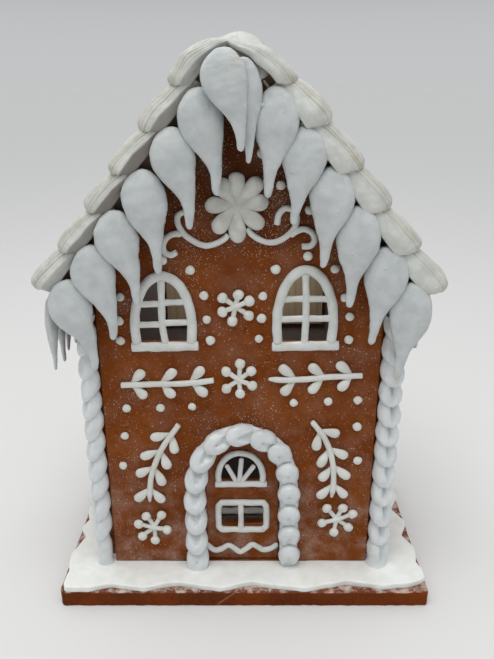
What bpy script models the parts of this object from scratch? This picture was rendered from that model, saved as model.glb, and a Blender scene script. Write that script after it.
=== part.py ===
"""Gingerbread house standing on its own board, modelled in metres with +Z up and the front towards -Y.

The board's underside is on z = 0 with its middle at the origin. Walls and roof boards are flat plates of
brown dough. Everything white is hand-rolled dough: ropes, drops and balls stuck on the front, a plaited
column on each corner, a chain of leaves over the roof's edges, and rows of icicles under them.

Places on the front wall are pairs (across, up) in millimetres: across from the house's middle, and up from
the board's top.
"""

import math

import bmesh
import bpy
from mathutils import Matrix, Vector

MM = 0.001

# Driving dimensions, in metres
GAP = 0.0003  # kept between neighbouring pieces
BOARD_WIDTH, BOARD_DEPTH, BOARD_THICK = 0.200, 0.115, 0.009
BOARD_EDGE = 0.0012
SNOW_THICK = 0.0027
HOUSE_X = -0.002  # the house stands a little left of the board's middle
HOUSE_DEPTH = 0.075
FRONT_LEDGE = 0.0214  # board in front of the front wall
WALL_THICK = 0.005
WALL_HALF = 0.076  # outer faces of the side walls, from the house's middle
COLUMN_X, COLUMN_RADIUS, COLUMN_LOBES = 0.077, 0.0058, 12
ROOF_RISE = 0.2725  # ridge of the roof boards, above the board's top
ROOF_SLOPE = math.radians(52.85)
ROOF_THICK = 0.006
EAVE_X = 0.088  # where the roof boards' top faces end
OVERHANG = 0.009  # of the roof boards, past the front and back walls
LEAF_ENDS = (0.0005, 0.0255, 0.0485, 0.0710, 0.0925, 0.1150, 0.1390)  # down the slope, from the ridge
LEAF_HALF_WIDTH = 0.008
LEAF_OVERHANG = 0.0072  # of a leaf, past the roof board's end face
LEAF_SEAT, LEAF_LEDGE = 0.0005, 0.0082  # undersides over the roof board, and in front of it over the icicles
ICICLE_RADIUS, ICICLE_THICK = 0.0098, 0.0064
DOOR_X, DOOR_HALF, DOOR_SPRING = 0.0010, 0.0205, 0.0610
DOOR_RECESS, DOOR_THICK = 0.0012, 0.0035
THRESHOLD = 0.0005  # wall left below the doorway
PANEL_THICK = 0.002

# Levels and planes that follow from them
FLOOR = BOARD_THICK + SNOW_THICK + 2 * GAP
FRONT = -BOARD_DEPTH / 2 + FRONT_LEDGE
BACK = FRONT + HOUSE_DEPTH
PEAK = BOARD_THICK + ROOF_RISE
ROOF_FRONT, ROOF_BACK = FRONT - OVERHANG, BACK + OVERHANG
DOOR_FRONT = FRONT + DOOR_RECESS
COS, SIN, TAN = math.cos(ROOF_SLOPE), math.sin(ROOF_SLOPE), math.tan(ROOF_SLOPE)

# Linear colour and roughness of each dough
BROWN = ("brown_dough", (0.150, 0.045, 0.013), 0.75)
BOARD_BROWN = ("board_brown", (0.180, 0.060, 0.020), 0.70)
WHITE = ("white_dough", (0.72, 0.72, 0.70), 0.45)
CREAM = ("cream_dough", (0.70, 0.68, 0.58), 0.50)
SNOW = ("snow_icing", (0.82, 0.83, 0.82), 0.65)
TAN_CARD = ("tan_card", (0.16, 0.11, 0.065), 0.85)


def clear_scene():
    for thing in list(bpy.data.objects):
        bpy.data.objects.remove(thing, do_unlink=True)


def new_collection(name):
    collection = bpy.data.collections.new(name)
    bpy.context.scene.collection.children.link(collection)
    return collection


clear_scene()
HOUSE = new_collection("gingerbread_house")
HELPERS = new_collection("union_helpers")


def finish_material(name, look):
    """The object's own material, in the colour and roughness of one of the doughs."""
    kind, colour, roughness = look
    material = bpy.data.materials.new(f"{name}_{kind}")
    material.use_nodes = True
    shader = material.node_tree.nodes["Principled BSDF"]
    shader.inputs["Base Color"].default_value = (*colour, 1.0)
    shader.inputs["Roughness"].default_value = roughness
    shader.inputs["Metallic"].default_value = 0.0
    return material


def place(name, data, look, collection=None):
    thing = bpy.data.objects.new(name, data)
    (collection or HOUSE).objects.link(thing)
    data.materials.append(finish_material(name, look))
    return thing


def mesh_from(bm, name):
    bmesh.ops.recalc_face_normals(bm, faces=bm.faces)
    mesh = bpy.data.meshes.new(name)
    bm.to_mesh(mesh)
    bm.free()
    mesh.shade_smooth()
    mesh.set_sharp_from_angle(angle=math.radians(50))
    return mesh


# ---------------------------------------------------------------- flat plates


def arch_loop(middle, half, low, spring, steps=10):
    """Outline of an arch-topped opening, as (across, up) points."""
    turn = [math.pi * i / steps for i in range(steps + 1)]
    top = [(middle + half * math.cos(a), spring + half * math.sin(a)) for a in turn]
    return [(middle - half, low), (middle + half, low)] + top


def rounded_loop(left, right, low, high, radius, steps=4):
    """Outline of a rectangle with round corners."""
    corners = ((right, high, 0), (left, high, 1), (left, low, 2), (right, low, 3))
    points = []
    for x, z, quarter in corners:
        cx = x - math.copysign(radius, x - (left + right) / 2)
        cz = z - math.copysign(radius, z - (low + high) / 2)
        for i in range(steps + 1):
            angle = math.pi / 2 * (quarter + i / steps)
            points.append((cx + radius * math.cos(angle), cz + radius * math.sin(angle)))
    return points


def plate(name, loops, near, far, look, upright=True):
    """A flat plate from near to far along its normal. The first loop is its edge and the others are holes."""
    curve = bpy.data.curves.new(name, "CURVE")
    curve.dimensions = "2D"
    curve.fill_mode = "BOTH"
    curve.extrude = (far - near) / 2
    for loop in loops:
        spline = curve.splines.new("POLY")
        spline.points.add(len(loop) - 1)
        for point, (across, up) in zip(spline.points, loop):
            point.co = (across, up, 0, 1)
        spline.use_cyclic_u = True
    thing = place(name, curve, look)
    middle = (near + far) / 2
    if upright:
        thing.rotation_euler = (math.pi / 2, 0, 0)
        thing.location = (HOUSE_X, middle, 0)
    else:
        thing.location = (0, 0, middle)
    return thing


def smooth_line(points, steps=3, closed=False):
    """Points along a Catmull-Rom line through the given ones."""
    vectors = [Vector(p) for p in points]
    count = len(vectors)
    line = []
    for i in range(count if closed else count - 1):
        if closed:
            p0, p1, p2, p3 = (vectors[(i + k) % count] for k in (-1, 0, 1, 2))
        else:
            p0, p3 = vectors[max(i - 1, 0)], vectors[min(i + 2, count - 1)]
            p1, p2 = vectors[i], vectors[i + 1]
        for k in range(steps):
            t = k / steps
            line.append(
                0.5 * (2 * p1 + (p2 - p0) * t + (2 * p0 - 5 * p1 + 4 * p2 - p3) * t**2
                       + (3 * p1 - p0 - 3 * p2 + p3) * t**3)
            )
    if not closed:
        line.append(vectors[-1])
    return line


def board():
    bm = bmesh.new()
    size = Matrix.Diagonal((BOARD_WIDTH, BOARD_DEPTH, BOARD_THICK, 1))
    bmesh.ops.create_cube(bm, size=1, matrix=Matrix.Translation((0, 0, BOARD_THICK / 2)) @ size)
    thing = place("board", mesh_from(bm, "board"), BOARD_BROWN)
    bevel = thing.modifiers.new("worn_edges", "BEVEL")
    bevel.width = BOARD_EDGE
    bevel.segments = 1


def snow_sheet():
    """The sheet of icing on the board.

    Its edge swings in and out. Each pair is a place along one side and how far inwards the edge lies there,
    in millimetres. Front and back places are across from the middle, side ones are behind the front.
    """
    half_x, half_y = BOARD_WIDTH / 2 / MM, BOARD_DEPTH / 2 / MM
    front = ((-97, 1.2), (-85, 1.2), (-72, 4.5), (-55, 1.2), (-37, 6), (-13, 1.2), (4, 6), (32, 1.1),
             (56, 6.5), (76, 3))
    right = ((8, 1), (21, 3.5), (33, 1), (45, 6.5), (58, 1), (71, 7.5), (85, 1), (98, 5))
    back = ((92, 1), (70, 5), (45, 1.5), (20, 6), (-5, 1.2), (-30, 5), (-52, 1.5), (-74, 6))
    left = ((100, 1.5), (85, 6), (72, 1.2), (60, 4.5), (52, 1.5), (43, 6), (28, 1), (14, 3))
    outline = [(x, -half_y + inset) for x, inset in front]
    outline += [(half_x - inset, -half_y + depth) for depth, inset in right]
    outline += [(x, half_y - inset) for x, inset in back]
    outline += [(-half_x + inset, -half_y + depth) for depth, inset in left]
    smoothed = smooth_line([(x, y, 0) for x, y in outline], 2, closed=True)
    loop = [(p.x * MM, p.y * MM) for p in smoothed]
    underside = BOARD_THICK + GAP
    plate("snow_sheet", [loop], underside, underside + SNOW_THICK, SNOW, upright=False)


def under_roof(across):
    """Height just under the roof boards, at this distance from the house's middle."""
    return PEAK - (ROOF_THICK + GAP) / COS - abs(across) * TAN


# Each front window: middle, half width and heights of its opening, from the board's top
WINDOWS = {
    "window_left": {"middle": -0.0375, "half": 0.0126, "low": 0.1365, "spring": 0.1580},
    "window_right": {"middle": 0.0322, "half": 0.0126, "low": 0.1365, "spring": 0.1612},
}


def gable(half):
    """Outline of a gable wall of this half width."""
    shoulder = under_roof(half)
    return [(-half, FLOOR), (half, FLOOR), (half, shoulder), (0, under_roof(0)), (-half, shoulder)]


def walls():
    half = COLUMN_X - COLUMN_RADIUS - GAP  # the corners are left open for the columns
    openings = [arch_loop(w["middle"], w["half"], BOARD_THICK + w["low"], BOARD_THICK + w["spring"])
                for w in WINDOWS.values()]
    doorway = arch_loop(DOOR_X, DOOR_HALF + GAP, FLOOR + THRESHOLD, BOARD_THICK + DOOR_SPRING)
    plate("wall_front", [gable(half), doorway] + openings, FRONT, FRONT + WALL_THICK, BROWN)
    plate("wall_back", [gable(half)], BACK - WALL_THICK, BACK, BROWN)
    for name, side in (("wall_left", -1), ("wall_right", 1)):
        inner, outer = WALL_HALF - WALL_THICK, WALL_HALF
        outline = [(side * inner, FLOOR), (side * outer, FLOOR), (side * outer, under_roof(outer)),
                   (side * inner, under_roof(inner))]
        clear = COLUMN_RADIUS + 2 * GAP
        plate(name, [outline], FRONT + clear, BACK - clear, BROWN)


def roof_boards():
    for name, side in (("roof_left", -1), ("roof_right", 1)):
        drop = ROOF_THICK / COS
        eave_z = PEAK - EAVE_X * TAN
        foot = (EAVE_X - ROOF_THICK * SIN, eave_z - ROOF_THICK * COS)
        outline = [(GAP / 2, PEAK), (EAVE_X, eave_z), foot, (GAP / 2, PEAK - drop)]
        plate(name, [[(side * x, z) for x, z in outline]], ROOF_FRONT, ROOF_BACK, BROWN)


def back_panel():
    """The tan panel that shows through the windows, on the inner face of the back wall."""
    inner = BACK - WALL_THICK - GAP
    left, right = -0.044, 0.0485
    low, high = BOARD_THICK + 0.1225, BOARD_THICK + 0.172
    loop = [(left, low), (right, low), (right, high), (left, high)]
    plate("back_panel", [loop], inner - PANEL_THICK, inner, TAN_CARD)


# The door's two lights, as openings in its panel
FANLIGHT = {"middle": 0.0002, "half": 0.0118, "low": 0.0550, "spring": 0.0615}
DOOR_WINDOW = {"left": -0.0120, "right": 0.0142, "low": 0.0252, "high": 0.0428}


def door():
    """The arched panel, cut out behind the ropes that frame its two lights."""
    up, rim, slack = BOARD_THICK, 0.001, 0.0006
    panel = arch_loop(DOOR_X, DOOR_HALF - slack, FLOOR + THRESHOLD + slack, up + DOOR_SPRING)
    low, spring = up + FANLIGHT["low"], up + FANLIGHT["spring"]
    light = arch_loop(FANLIGHT["middle"], FANLIGHT["half"] - rim, low, spring, 8)
    left, right = DOOR_WINDOW["left"] + rim, DOOR_WINDOW["right"] - rim
    low, high = up + DOOR_WINDOW["low"] + rim, up + DOOR_WINDOW["high"] - rim
    hole = rounded_loop(left, right, low, high, 3 * rim, 3)
    plate("door", [panel, light, hole], DOOR_FRONT, DOOR_FRONT + DOOR_THICK, BROWN)


# ---------------------------------------------------------------- rolled dough


def strand(name, points, radii, look, plane=None, squash=1.0, collection=None, closed=False, sides=6):
    """A rope or drop of dough along a line, thick as its radii say, and flattened against y = plane.

    Points are (x, y, z) in metres in the board's frame. With a plane, their y counts from that plane.
    """
    curve = bpy.data.curves.new(name, "CURVE")
    curve.dimensions = "3D"
    curve.bevel_depth = 1.0
    curve.bevel_resolution = (sides - 4) // 2
    curve.use_fill_caps = True
    spline = curve.splines.new("POLY")
    spline.points.add(len(points) - 1)
    spline.use_cyclic_u = closed
    for point, spot, radius in zip(spline.points, points, radii):
        point.co = (*spot, 1)
        point.radius = radius
    rolled = bpy.data.objects.new(f"{name}_line", curve)
    HELPERS.objects.link(rolled)
    bpy.context.view_layer.update()
    mesh = bpy.data.meshes.new_from_object(rolled.evaluated_get(bpy.context.evaluated_depsgraph_get()))
    bpy.data.objects.remove(rolled)
    bm = bmesh.new()
    bm.from_mesh(mesh)
    bpy.data.meshes.remove(mesh)
    bmesh.ops.remove_doubles(bm, verts=bm.verts, dist=1e-6)
    if plane is not None:
        bm.transform(Matrix.Translation((0, plane, 0)) @ Matrix.Diagonal((1, squash, 1, 1)))
    return place(name, mesh_from(bm, name), look, collection)


def fuse(name, pieces):
    """One piece of dough pressed together from several: the first piece, joined to the others."""
    whole = pieces[0]
    whole.name = name
    HELPERS.objects.unlink(whole)
    HOUSE.objects.link(whole)
    for piece in pieces[1:]:
        piece.hide_render = True
        piece.display_type = "WIRE"
        union = whole.modifiers.new(f"joined_{piece.name}", "BOOLEAN")
        union.operation = "UNION"
        union.solver = "EXACT"
        union.object = piece
    return whole


def on_wall(points, lift=0.0):
    """(across, up) pairs in millimetres as places on the front wall's plane."""
    return [(HOUSE_X + x * MM, -lift, BOARD_THICK + z * MM) for x, z in points]


def rope_on_wall(name, points, radius, look=WHITE, squash=0.85, steps=2, taper=0.7, plane=FRONT,
                 collection=None, sides=6):
    """A rolled rope that lies on the wall along a smooth line, with slightly thinner ends."""
    line = smooth_line([(*p, 0) for p in points], steps)
    places = on_wall([(p.x, p.y) for p in line])
    radii = [radius] * len(places)
    radii[0] = radii[-1] = radius * taper
    return strand(name, places, radii, look, plane - GAP - radius * squash, squash, collection, sides=sides)


def joined_rope(name, points, radius, **style):
    """A straight-sided rope that is about to be joined to others."""
    return rope_on_wall(name, points, radius, steps=1, collection=HELPERS, **style)


def ball(name, centre, radius, squash, look=CREAM, segments=5, rings=3):
    """A ball of dough pressed against the front wall."""
    bm = bmesh.new()
    shape = Matrix.Diagonal((radius, radius * squash, radius, 1))
    x, _, z = on_wall([centre])[0]
    spot = Matrix.Translation((x, FRONT - GAP - radius * squash, z))
    bmesh.ops.create_uvsphere(bm, u_segments=segments, v_segments=rings, radius=1, matrix=spot @ shape)
    return place(name, mesh_from(bm, name), look, HELPERS)


def drop(name, root, end, width, look=CREAM, squash=0.6):
    """A teardrop of dough from its thin root to its round end, pressed against the front wall."""
    shape = ((0.0, 0.25), (0.68, 1.0), (1.0, 0.45))
    a, b = Vector((*root, 0)), Vector((*end, 0))
    places = on_wall([tuple((a + (b - a) * t)[:2]) for t, _ in shape])
    half = width / 2 * MM
    radii = [half * share for _, share in shape]
    return strand(name, places, radii, look, FRONT - GAP - half * squash, squash, HELPERS, sides=4)


def columns():
    """A plaited column on each corner, as a row of bulges."""
    top = under_roof(COLUMN_X + COLUMN_RADIUS) - GAP
    pitch = (top - FLOOR) / COLUMN_LOBES
    waist = 0.78
    for name, side, y in (("column_front_left", -1, FRONT), ("column_front_right", 1, FRONT),
                          ("column_back_left", -1, BACK), ("column_back_right", 1, BACK)):
        points, radii = [], []
        for i in range(2 * COLUMN_LOBES + 1):
            points.append((HOUSE_X + side * COLUMN_X, y, FLOOR + pitch * i / 2))
            radii.append(COLUMN_RADIUS * (1.0 if i % 2 else waist))
        strand(name, points, radii, WHITE)


def door_arch():
    """The garland of dough beads round the door."""
    legs = (9.0, 21.5, 35.0, 48.0)
    left = [(-24.3, z) for z in legs]
    right = [(27.0 - 0.03 * z, z) for z in reversed(legs)]
    crown_middle, crown_spring, crown_radius, crown_beads = 1.3, 62.3, 25.6, 7
    bead, neck, foot, squash = 5.6 * MM, 4.6 * MM, 5.0 * MM, 0.72
    foot_level = 3.6
    crown = []
    for i in range(crown_beads):
        angle = math.pi * (1 - i / (crown_beads - 1))
        across, up = crown_radius * math.cos(angle), crown_radius * math.sin(angle)
        crown.append((crown_middle + across, crown_spring + up))
    beads = left + crown + right
    line, radii = [], []
    for (x, z), (next_x, next_z) in zip(beads, beads[1:]):
        line += [(x, z), ((x + next_x) / 2, (z + next_z) / 2)]
        radii += [bead, neck]
    line = [(beads[0][0], foot_level)] + line + [beads[-1], (beads[-1][0], foot_level)]
    radii = [foot] + radii + [bead, foot]
    strand("door_arch", on_wall(line), radii, WHITE, FRONT - GAP - bead * squash, squash)


def window_frames():
    """Arched rope frames with a sill, one upright and two cross bars."""
    half, foot, thick = 13.8, 136.5, 2.0
    for name, window in WINDOWS.items():
        middle, spring = window["middle"] / MM, window["spring"] / MM
        arc = [math.pi * (1 - i / 7) for i in range(8)]
        arch = [(middle + half * math.cos(a), spring + half * math.sin(a)) for a in arc]
        arch = [(middle - half, foot)] + arch + [(middle + half, foot)]
        bars = {  # the line of each rope and its radius, in millimetres
            "arch": (arch, 2.3),
            "sill": ([(middle - 16.3, 135.6), (middle + 16.3, 136.0)], 2.35),
            "upright": ([(middle, 136.0), (middle - 0.5, spring + half)], 1.8),
            "cross_low": ([(middle - half, spring - 10.8), (middle + half, spring - 9.6)], 1.65),
            "cross_high": ([(middle - half, spring - 0.6), (middle + half, spring + 0.6)], 1.65),
        }
        pieces = []
        for bar, (points, radius) in bars.items():
            plane, sides = (FRONT, 6) if radius > thick else (FRONT - 2 * GAP, 4)
            pieces.append(joined_rope(f"{name}_{bar}", points, radius * MM, squash=0.75, plane=plane,
                                      sides=sides))
        fuse(name, pieces)


def door_frames():
    """The rope frames of the door's fanlight and window, and the wavy rope below them."""
    middle, half, spring = FANLIGHT["middle"] / MM, FANLIGHT["half"] / MM, FANLIGHT["spring"] / MM
    sill_level = 54.6
    arc = [math.pi * (1 - i / 6) for i in range(7)]
    arch = [(middle + half * math.cos(a), spring + half * math.sin(a)) for a in arc]
    arch = [(middle - half, sill_level)] + arch + [(middle + half, sill_level)]
    sill = [(-13.4, sill_level), (14.4, sill_level)]
    pieces = [joined_rope("fanlight_arch", arch, 1.55 * MM, plane=DOOR_FRONT),
              joined_rope("fanlight_sill", sill, 1.6 * MM, plane=DOOR_FRONT)]
    for i, degrees in enumerate((124, 89, 52)):
        angle = math.radians(degrees)
        hub = (middle - 1.2, sill_level + 0.4)
        tip = (middle + 11.5 * math.cos(angle), 56.5 + 15.5 * math.sin(angle))
        spoke = joined_rope(f"fanlight_spoke_{i}", [hub, tip], 1.3 * MM, plane=DOOR_FRONT - GAP, sides=4)
        pieces.append(spoke)
    fuse("fanlight", pieces)

    left, right, low, high = (DOOR_WINDOW[key] / MM for key in ("left", "right", "low", "high"))
    ring = on_wall(rounded_loop(left, right, low, high, 3.4, 2))
    middle = (left + right) / 2
    radius, squash = 1.65 * MM, 0.85
    plane = DOOR_FRONT - GAP - radius * squash
    frame = strand("door_window_ring", ring, [radius] * len(ring), WHITE, plane, squash, HELPERS, closed=True)
    bar = joined_rope("door_window_bar", [(middle, low), (middle, high)], 1.5 * MM, plane=DOOR_FRONT)
    fuse("door_window", [frame, bar])

    wave = [(-17.2, 14.6), (-13.5, 11.2), (-7.0, 14.2), (-0.3, 10.2), (6.5, 14.6), (12.0, 11.4), (19.0, 13.4)]
    rope_on_wall("door_wave", wave, 1.6 * MM, plane=DOOR_FRONT)


def flower():
    """Eight teardrop petals round a middle."""
    x, z = -1.4, 205.6
    petals, reach_x, reach_z, start = 8, 14.2, 15.2, 1.5
    pieces = [ball("flower_heart", (x, z), 3.0 * MM, 0.8, segments=6)]
    for i in range(petals):
        across, up = math.cos(math.tau * i / petals), math.sin(math.tau * i / petals)
        root, end = (x + start * across, z + start * up), (x + reach_x * across, z + reach_z * up)
        pieces.append(drop(f"flower_petal_{i}", root, end, 8.2, squash=0.65))
    fuse("flower", pieces)


def vines():
    """A scrolling rope on each side of the flower, with a second scroll branching off it."""
    scrolls = {
        "vine_left": (
            [(-10.4, 187.4), (-16.0, 186.9), (-21.8, 189.0), (-26.6, 192.8), (-28.7, 198.0), (-26.4, 202.0),
             (-22.6, 200.6)],
            [(-27.2, 191.6), (-32.0, 191.8), (-35.6, 189.6), (-36.4, 185.8), (-34.0, 182.4), (-30.6, 183.2)]),
        "vine_right": (
            [(8.6, 190.2), (13.0, 188.3), (18.0, 188.8), (23.2, 192.0), (26.4, 196.6), (25.4, 201.6),
             (21.4, 203.6), (18.2, 200.8), (18.2, 196.6)],
            [(24.4, 191.6), (28.2, 194.2), (32.4, 194.2), (35.3, 191.0), (34.0, 187.2), (29.6, 186.6)]),
    }
    for name, (main, curl) in scrolls.items():
        fuse(name, [rope_on_wall(f"{name}_main", main, 1.35 * MM, steps=2, collection=HELPERS),
                    rope_on_wall(f"{name}_curl", curl, 1.40 * MM, steps=1, collection=HELPERS,
                                 plane=FRONT - 0.0002)])


SNOWFLAKES = {
    # middle, arm length and turn of the first arm in degrees
    "snowflake_top": ((-2.0, 156.2), 7.4, 22),
    "snowflake_middle": ((-0.4, 117.4), 8.0, 32),
    "snowflake_left": ((-48.6, 27.8), 8.5, 54),
    "snowflake_right": ((53.2, 33.0), 8.6, 14),
}


def snowflakes():
    """Six balls round a crossing of three thin ropes."""
    for name, (middle, reach, turn) in SNOWFLAKES.items():
        angles = [math.radians(turn + 60 * i) for i in range(6)]
        ends = [(middle[0] + reach * math.cos(a), middle[1] + reach * math.sin(a)) for a in angles]
        pieces = []
        for i in range(3):
            lift = 0.1 * i * MM  # the bars lie a little over one another
            bar = joined_rope(f"{name}_bar_{i}", [ends[i], ends[i + 3]], 1.2 * MM + lift / 2, look=CREAM,
                              plane=FRONT - lift, sides=4)
            pieces.append(bar)
        pieces += [ball(f"{name}_ball_{i}", end, 2.4 * MM, 0.8) for i, end in enumerate(ends)]
        fuse(name, pieces)


def branches():
    """Stems with pairs of teardrop leaves: two lie level between the floors, two stand beside the door."""
    # the stem's points, the leaf lengths on its two sides, whether leaves lean along it, their places on it
    sprigs = {
        "branch_left": ([(-60.5, 114.4), (-44.0, 114.8), (-28.0, 115.2), (-13.2, 116.8)], (8.6, 8.2), 1,
                        (0.10, 0.42, 0.74)),
        "branch_right": ([(62.0, 119.6), (45.0, 118.9), (30.0, 117.4), (14.4, 117.4)], (8.8, 8.6), 1,
                         (0.10, 0.38, 0.68)),
        "sprig_left": ([(-49.6, 44.0), (-48.4, 58.0), (-45.6, 68.0), (-41.2, 77.4), (-32.2, 91.2)],
                       (9.0, 8.6), -1, (0.17, 0.40, 0.62, 0.86)),
        "sprig_right": ([(49.8, 47.0), (50.2, 59.0), (48.6, 72.0), (44.2, 84.6), (37.0, 94.4)],
                        (8.6, 9.0), -1, (0.17, 0.40, 0.62, 0.86)),
    }
    for name, (stem, lengths, lean, shares) in sprigs.items():
        line = smooth_line([(*p, 0) for p in stem], 2)
        pieces = [joined_rope(f"{name}_stem", [(p.x, p.y) for p in line], 1.35 * MM, look=CREAM, taper=0.5)]
        for k, share in enumerate(shares):
            at = share * (len(line) - 1)
            i = min(int(at), len(line) - 2)
            root = line[i].lerp(line[i + 1], at - i)
            along = (line[i + 1] - line[i]).normalized() * lean
            for label, side, length in zip("ab", (1, -1), lengths):
                across = Vector((-along.y, along.x, 0)) * side
                end = root + (along + across).normalized() * length
                start = root + across * 0.4
                pieces.append(drop(f"{name}_leaf_{k}_{label}", start[:2], end[:2], 4.3))
        fuse(name, pieces)


# ---------------------------------------------------------------- icicles and leaves


def icicle_line(top, tail_shift, length):
    """Places and half widths down a hanging drop: a round head that thins into a tail at one side."""
    # share of the length, share of the head's radius, share of the tail's shift
    profile = ((0.00, 0.22, 0.0), (0.08, 0.68, 0.0), (0.22, 0.98, 0.02), (0.36, 0.96, 0.14),
               (0.62, 0.50, 0.64), (1.00, 0.12, 1.0))
    points = [(top[0] + tail_shift * lean, top[1] - length * t) for t, _, lean in profile]
    return points, [ICICLE_RADIUS * share for _, share, _ in profile]


def icicle(name, top, shift, length, plane, turn=0.0, thick=ICICLE_THICK, slim=1.0):
    """A hanging drop whose head's middle is in this plane, turned about the upright axis."""
    points, radii = icicle_line(top, shift, length)
    squash = thick / (2 * ICICLE_RADIUS * slim)
    thing = strand(name, on_wall(points), [r * slim for r in radii], WHITE, 0.0, squash)
    head = HOUSE_X + top[0] * MM
    thing.data.transform(Matrix.Translation((head, plane, 0)) @ Matrix.Rotation(turn, 4, "Z")
                         @ Matrix.Translation((-head, 0, 0)))


def icicles():
    """The front row. Heads lie under the leaves, tails lean one way, and each passes before the one below it."""
    heads = {"left": (17.2, 29.4, 42.8, 56.2, 68.2, 80.4), "right": (16.8, 29.0, 41.8, 54.6, 68.4, 81.2)}
    lengths = {"left": (45.5, 44.0, 47.5, 45.0, 47.0, 47.0), "right": (44.0, 43.0, 46.0, 48.0, 48.5, 50.5)}
    plane, turn = ROOF_FRONT - GAP - 3.8 * MM, math.radians(14)
    above_slope, head_shift = 3.3, 1.5
    for side, sign, shift in (("left", -1, 8.0), ("right", 1, -4.0)):
        for i, (x, length) in enumerate(zip(heads[side], lengths[side])):
            top = (sign * x, ROOF_RISE / MM + above_slope / COS - (x - head_shift) * TAN)
            icicle(f"icicle_{side}_{i + 1}", top, shift, length, plane, turn=-sign * turn)
    icicle("icicle_peak_front", (-5.0, 272.4), 7.2, 41.0, ROOF_FRONT - 9.4 * MM, thick=4.8 * MM)
    icicle("icicle_peak_back", (1.6, 266.0), 2.0, 40.0, ROOF_FRONT - 5.6 * MM, thick=3.2 * MM, slim=0.78)


def eave_icicles():
    """A row of icicles along each side eave. Their heads press into each other, so a row is one piece."""
    count, head_top, length, uneven = 7, 161.0, 40.0, 2.0
    clear_of_board, step_out, inset, squash = 4.5 * MM, 0.15 * MM, 8.0 * MM, 0.30
    start, end = ROOF_FRONT + inset, ROOF_BACK - inset
    for name, side in (("eave_icicles_left", -1), ("eave_icicles_right", 1)):
        turn = Matrix.Rotation(math.radians(90 + 7 * side), 4, "Z") @ Matrix.Translation((-HOUSE_X, 0, 0))
        pieces = []
        for i in range(count):
            points, radii = icicle_line((0.0, head_top), 0.0, length + (uneven if i % 2 else -uneven))
            points, radii = points[::2] + points[-1:], radii[::2] + radii[-1:]
            piece = strand(f"{name}_{i}", on_wall(points), radii, WHITE, 0.0, squash, HELPERS, sides=4)
            y = start + (end - start) * i / (count - 1)
            x = HOUSE_X + side * (EAVE_X + clear_of_board + step_out * (i % 2))
            piece.data.transform(Matrix.Translation((x, y, 0)) @ turn)
            pieces.append(piece)
        fuse(name, pieces)


def loft(name, rings, look, collection=None):
    """A closed body through rings of points, each ring with the same count."""
    bm = bmesh.new()
    rows = [[bm.verts.new(p) for p in ring] for ring in rings]
    count = len(rows[0])
    for a, b in zip(rows, rows[1:]):
        for i in range(count):
            j = (i + 1) % count
            bm.faces.new((a[i], a[j], b[j], b[i]))
    bm.faces.new(rows[0][::-1])
    bm.faces.new(rows[-1])
    return place(name, mesh_from(bm, name), look, collection)


def on_slope(side, down, out, y):
    """A place by its distance down the slope from the ridge, and out from the roof board's top face."""
    return (HOUSE_X + side * (down * COS + out * SIN), y, PEAK - down * SIN + out * COS)


# Down a leaf from its start to its blunt end: share of its length, height over the slope, share of its width
FRONT_LEAF = ((0.0, 0.0102, 0.66), (0.50, 0.0146, 1.0), (0.86, 0.0162, 0.95), (1.0, 0.0136, 0.70))
BACK_LEAF = ((0.0, 0.0102, 0.66), (0.50, 0.0146, 1.0), (1.0, 0.0136, 0.70))


def leaf_ring(side, down, height, half, edge, inward, flutes):
    """Cross-section of a leaf: it lies on the roof board behind the board's edge, and overhangs before it.

    edge is the board's end face and inward is +1 where the board runs towards +Y from it, or -1 at the back.
    """
    y = edge + inward * (LEAF_HALF_WIDTH - LEAF_OVERHANG)
    behind, before = y + inward * half, y - inward * half
    flat = [(behind, LEAF_SEAT), (edge + inward * 1.2 * MM, LEAF_SEAT),
            (edge - inward * 0.8 * MM, LEAF_LEDGE), (before, LEAF_LEDGE)]
    crown = []
    for i in range(1, flutes):
        angle = math.pi * i / flutes
        rise = (height - LEAF_LEDGE) * (1.0 if i % 2 else 0.93)
        crown.append((y - inward * half * math.cos(angle), LEAF_LEDGE + rise * math.sin(angle)))
    return [on_slope(side, down, out, across) for across, out in flat + crown + [(behind, LEAF_LEDGE)]]


def leaf_rings(side, start, end, edge, inward, shape, spread=1.0, flutes=6):
    """Rings of one leaf: a tongue of dough, low where it starts and high and blunt where it ends."""
    rings = []
    for t, height, width in shape:
        down, half = start + (end - start) * t, LEAF_HALF_WIDTH * width * spread
        rings.append(leaf_ring(side, down, height * spread, half, edge, inward, flutes))
    return rings


def roof_leaves():
    for side_name, side in (("left", -1), ("right", 1)):
        for i, (start, end) in enumerate(zip(LEAF_ENDS, LEAF_ENDS[1:])):
            rings = leaf_rings(side, start, end - GAP, ROOF_FRONT, 1, FRONT_LEAF)
            loft(f"leaf_{side_name}_{i + 1}", rings, CREAM)


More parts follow.
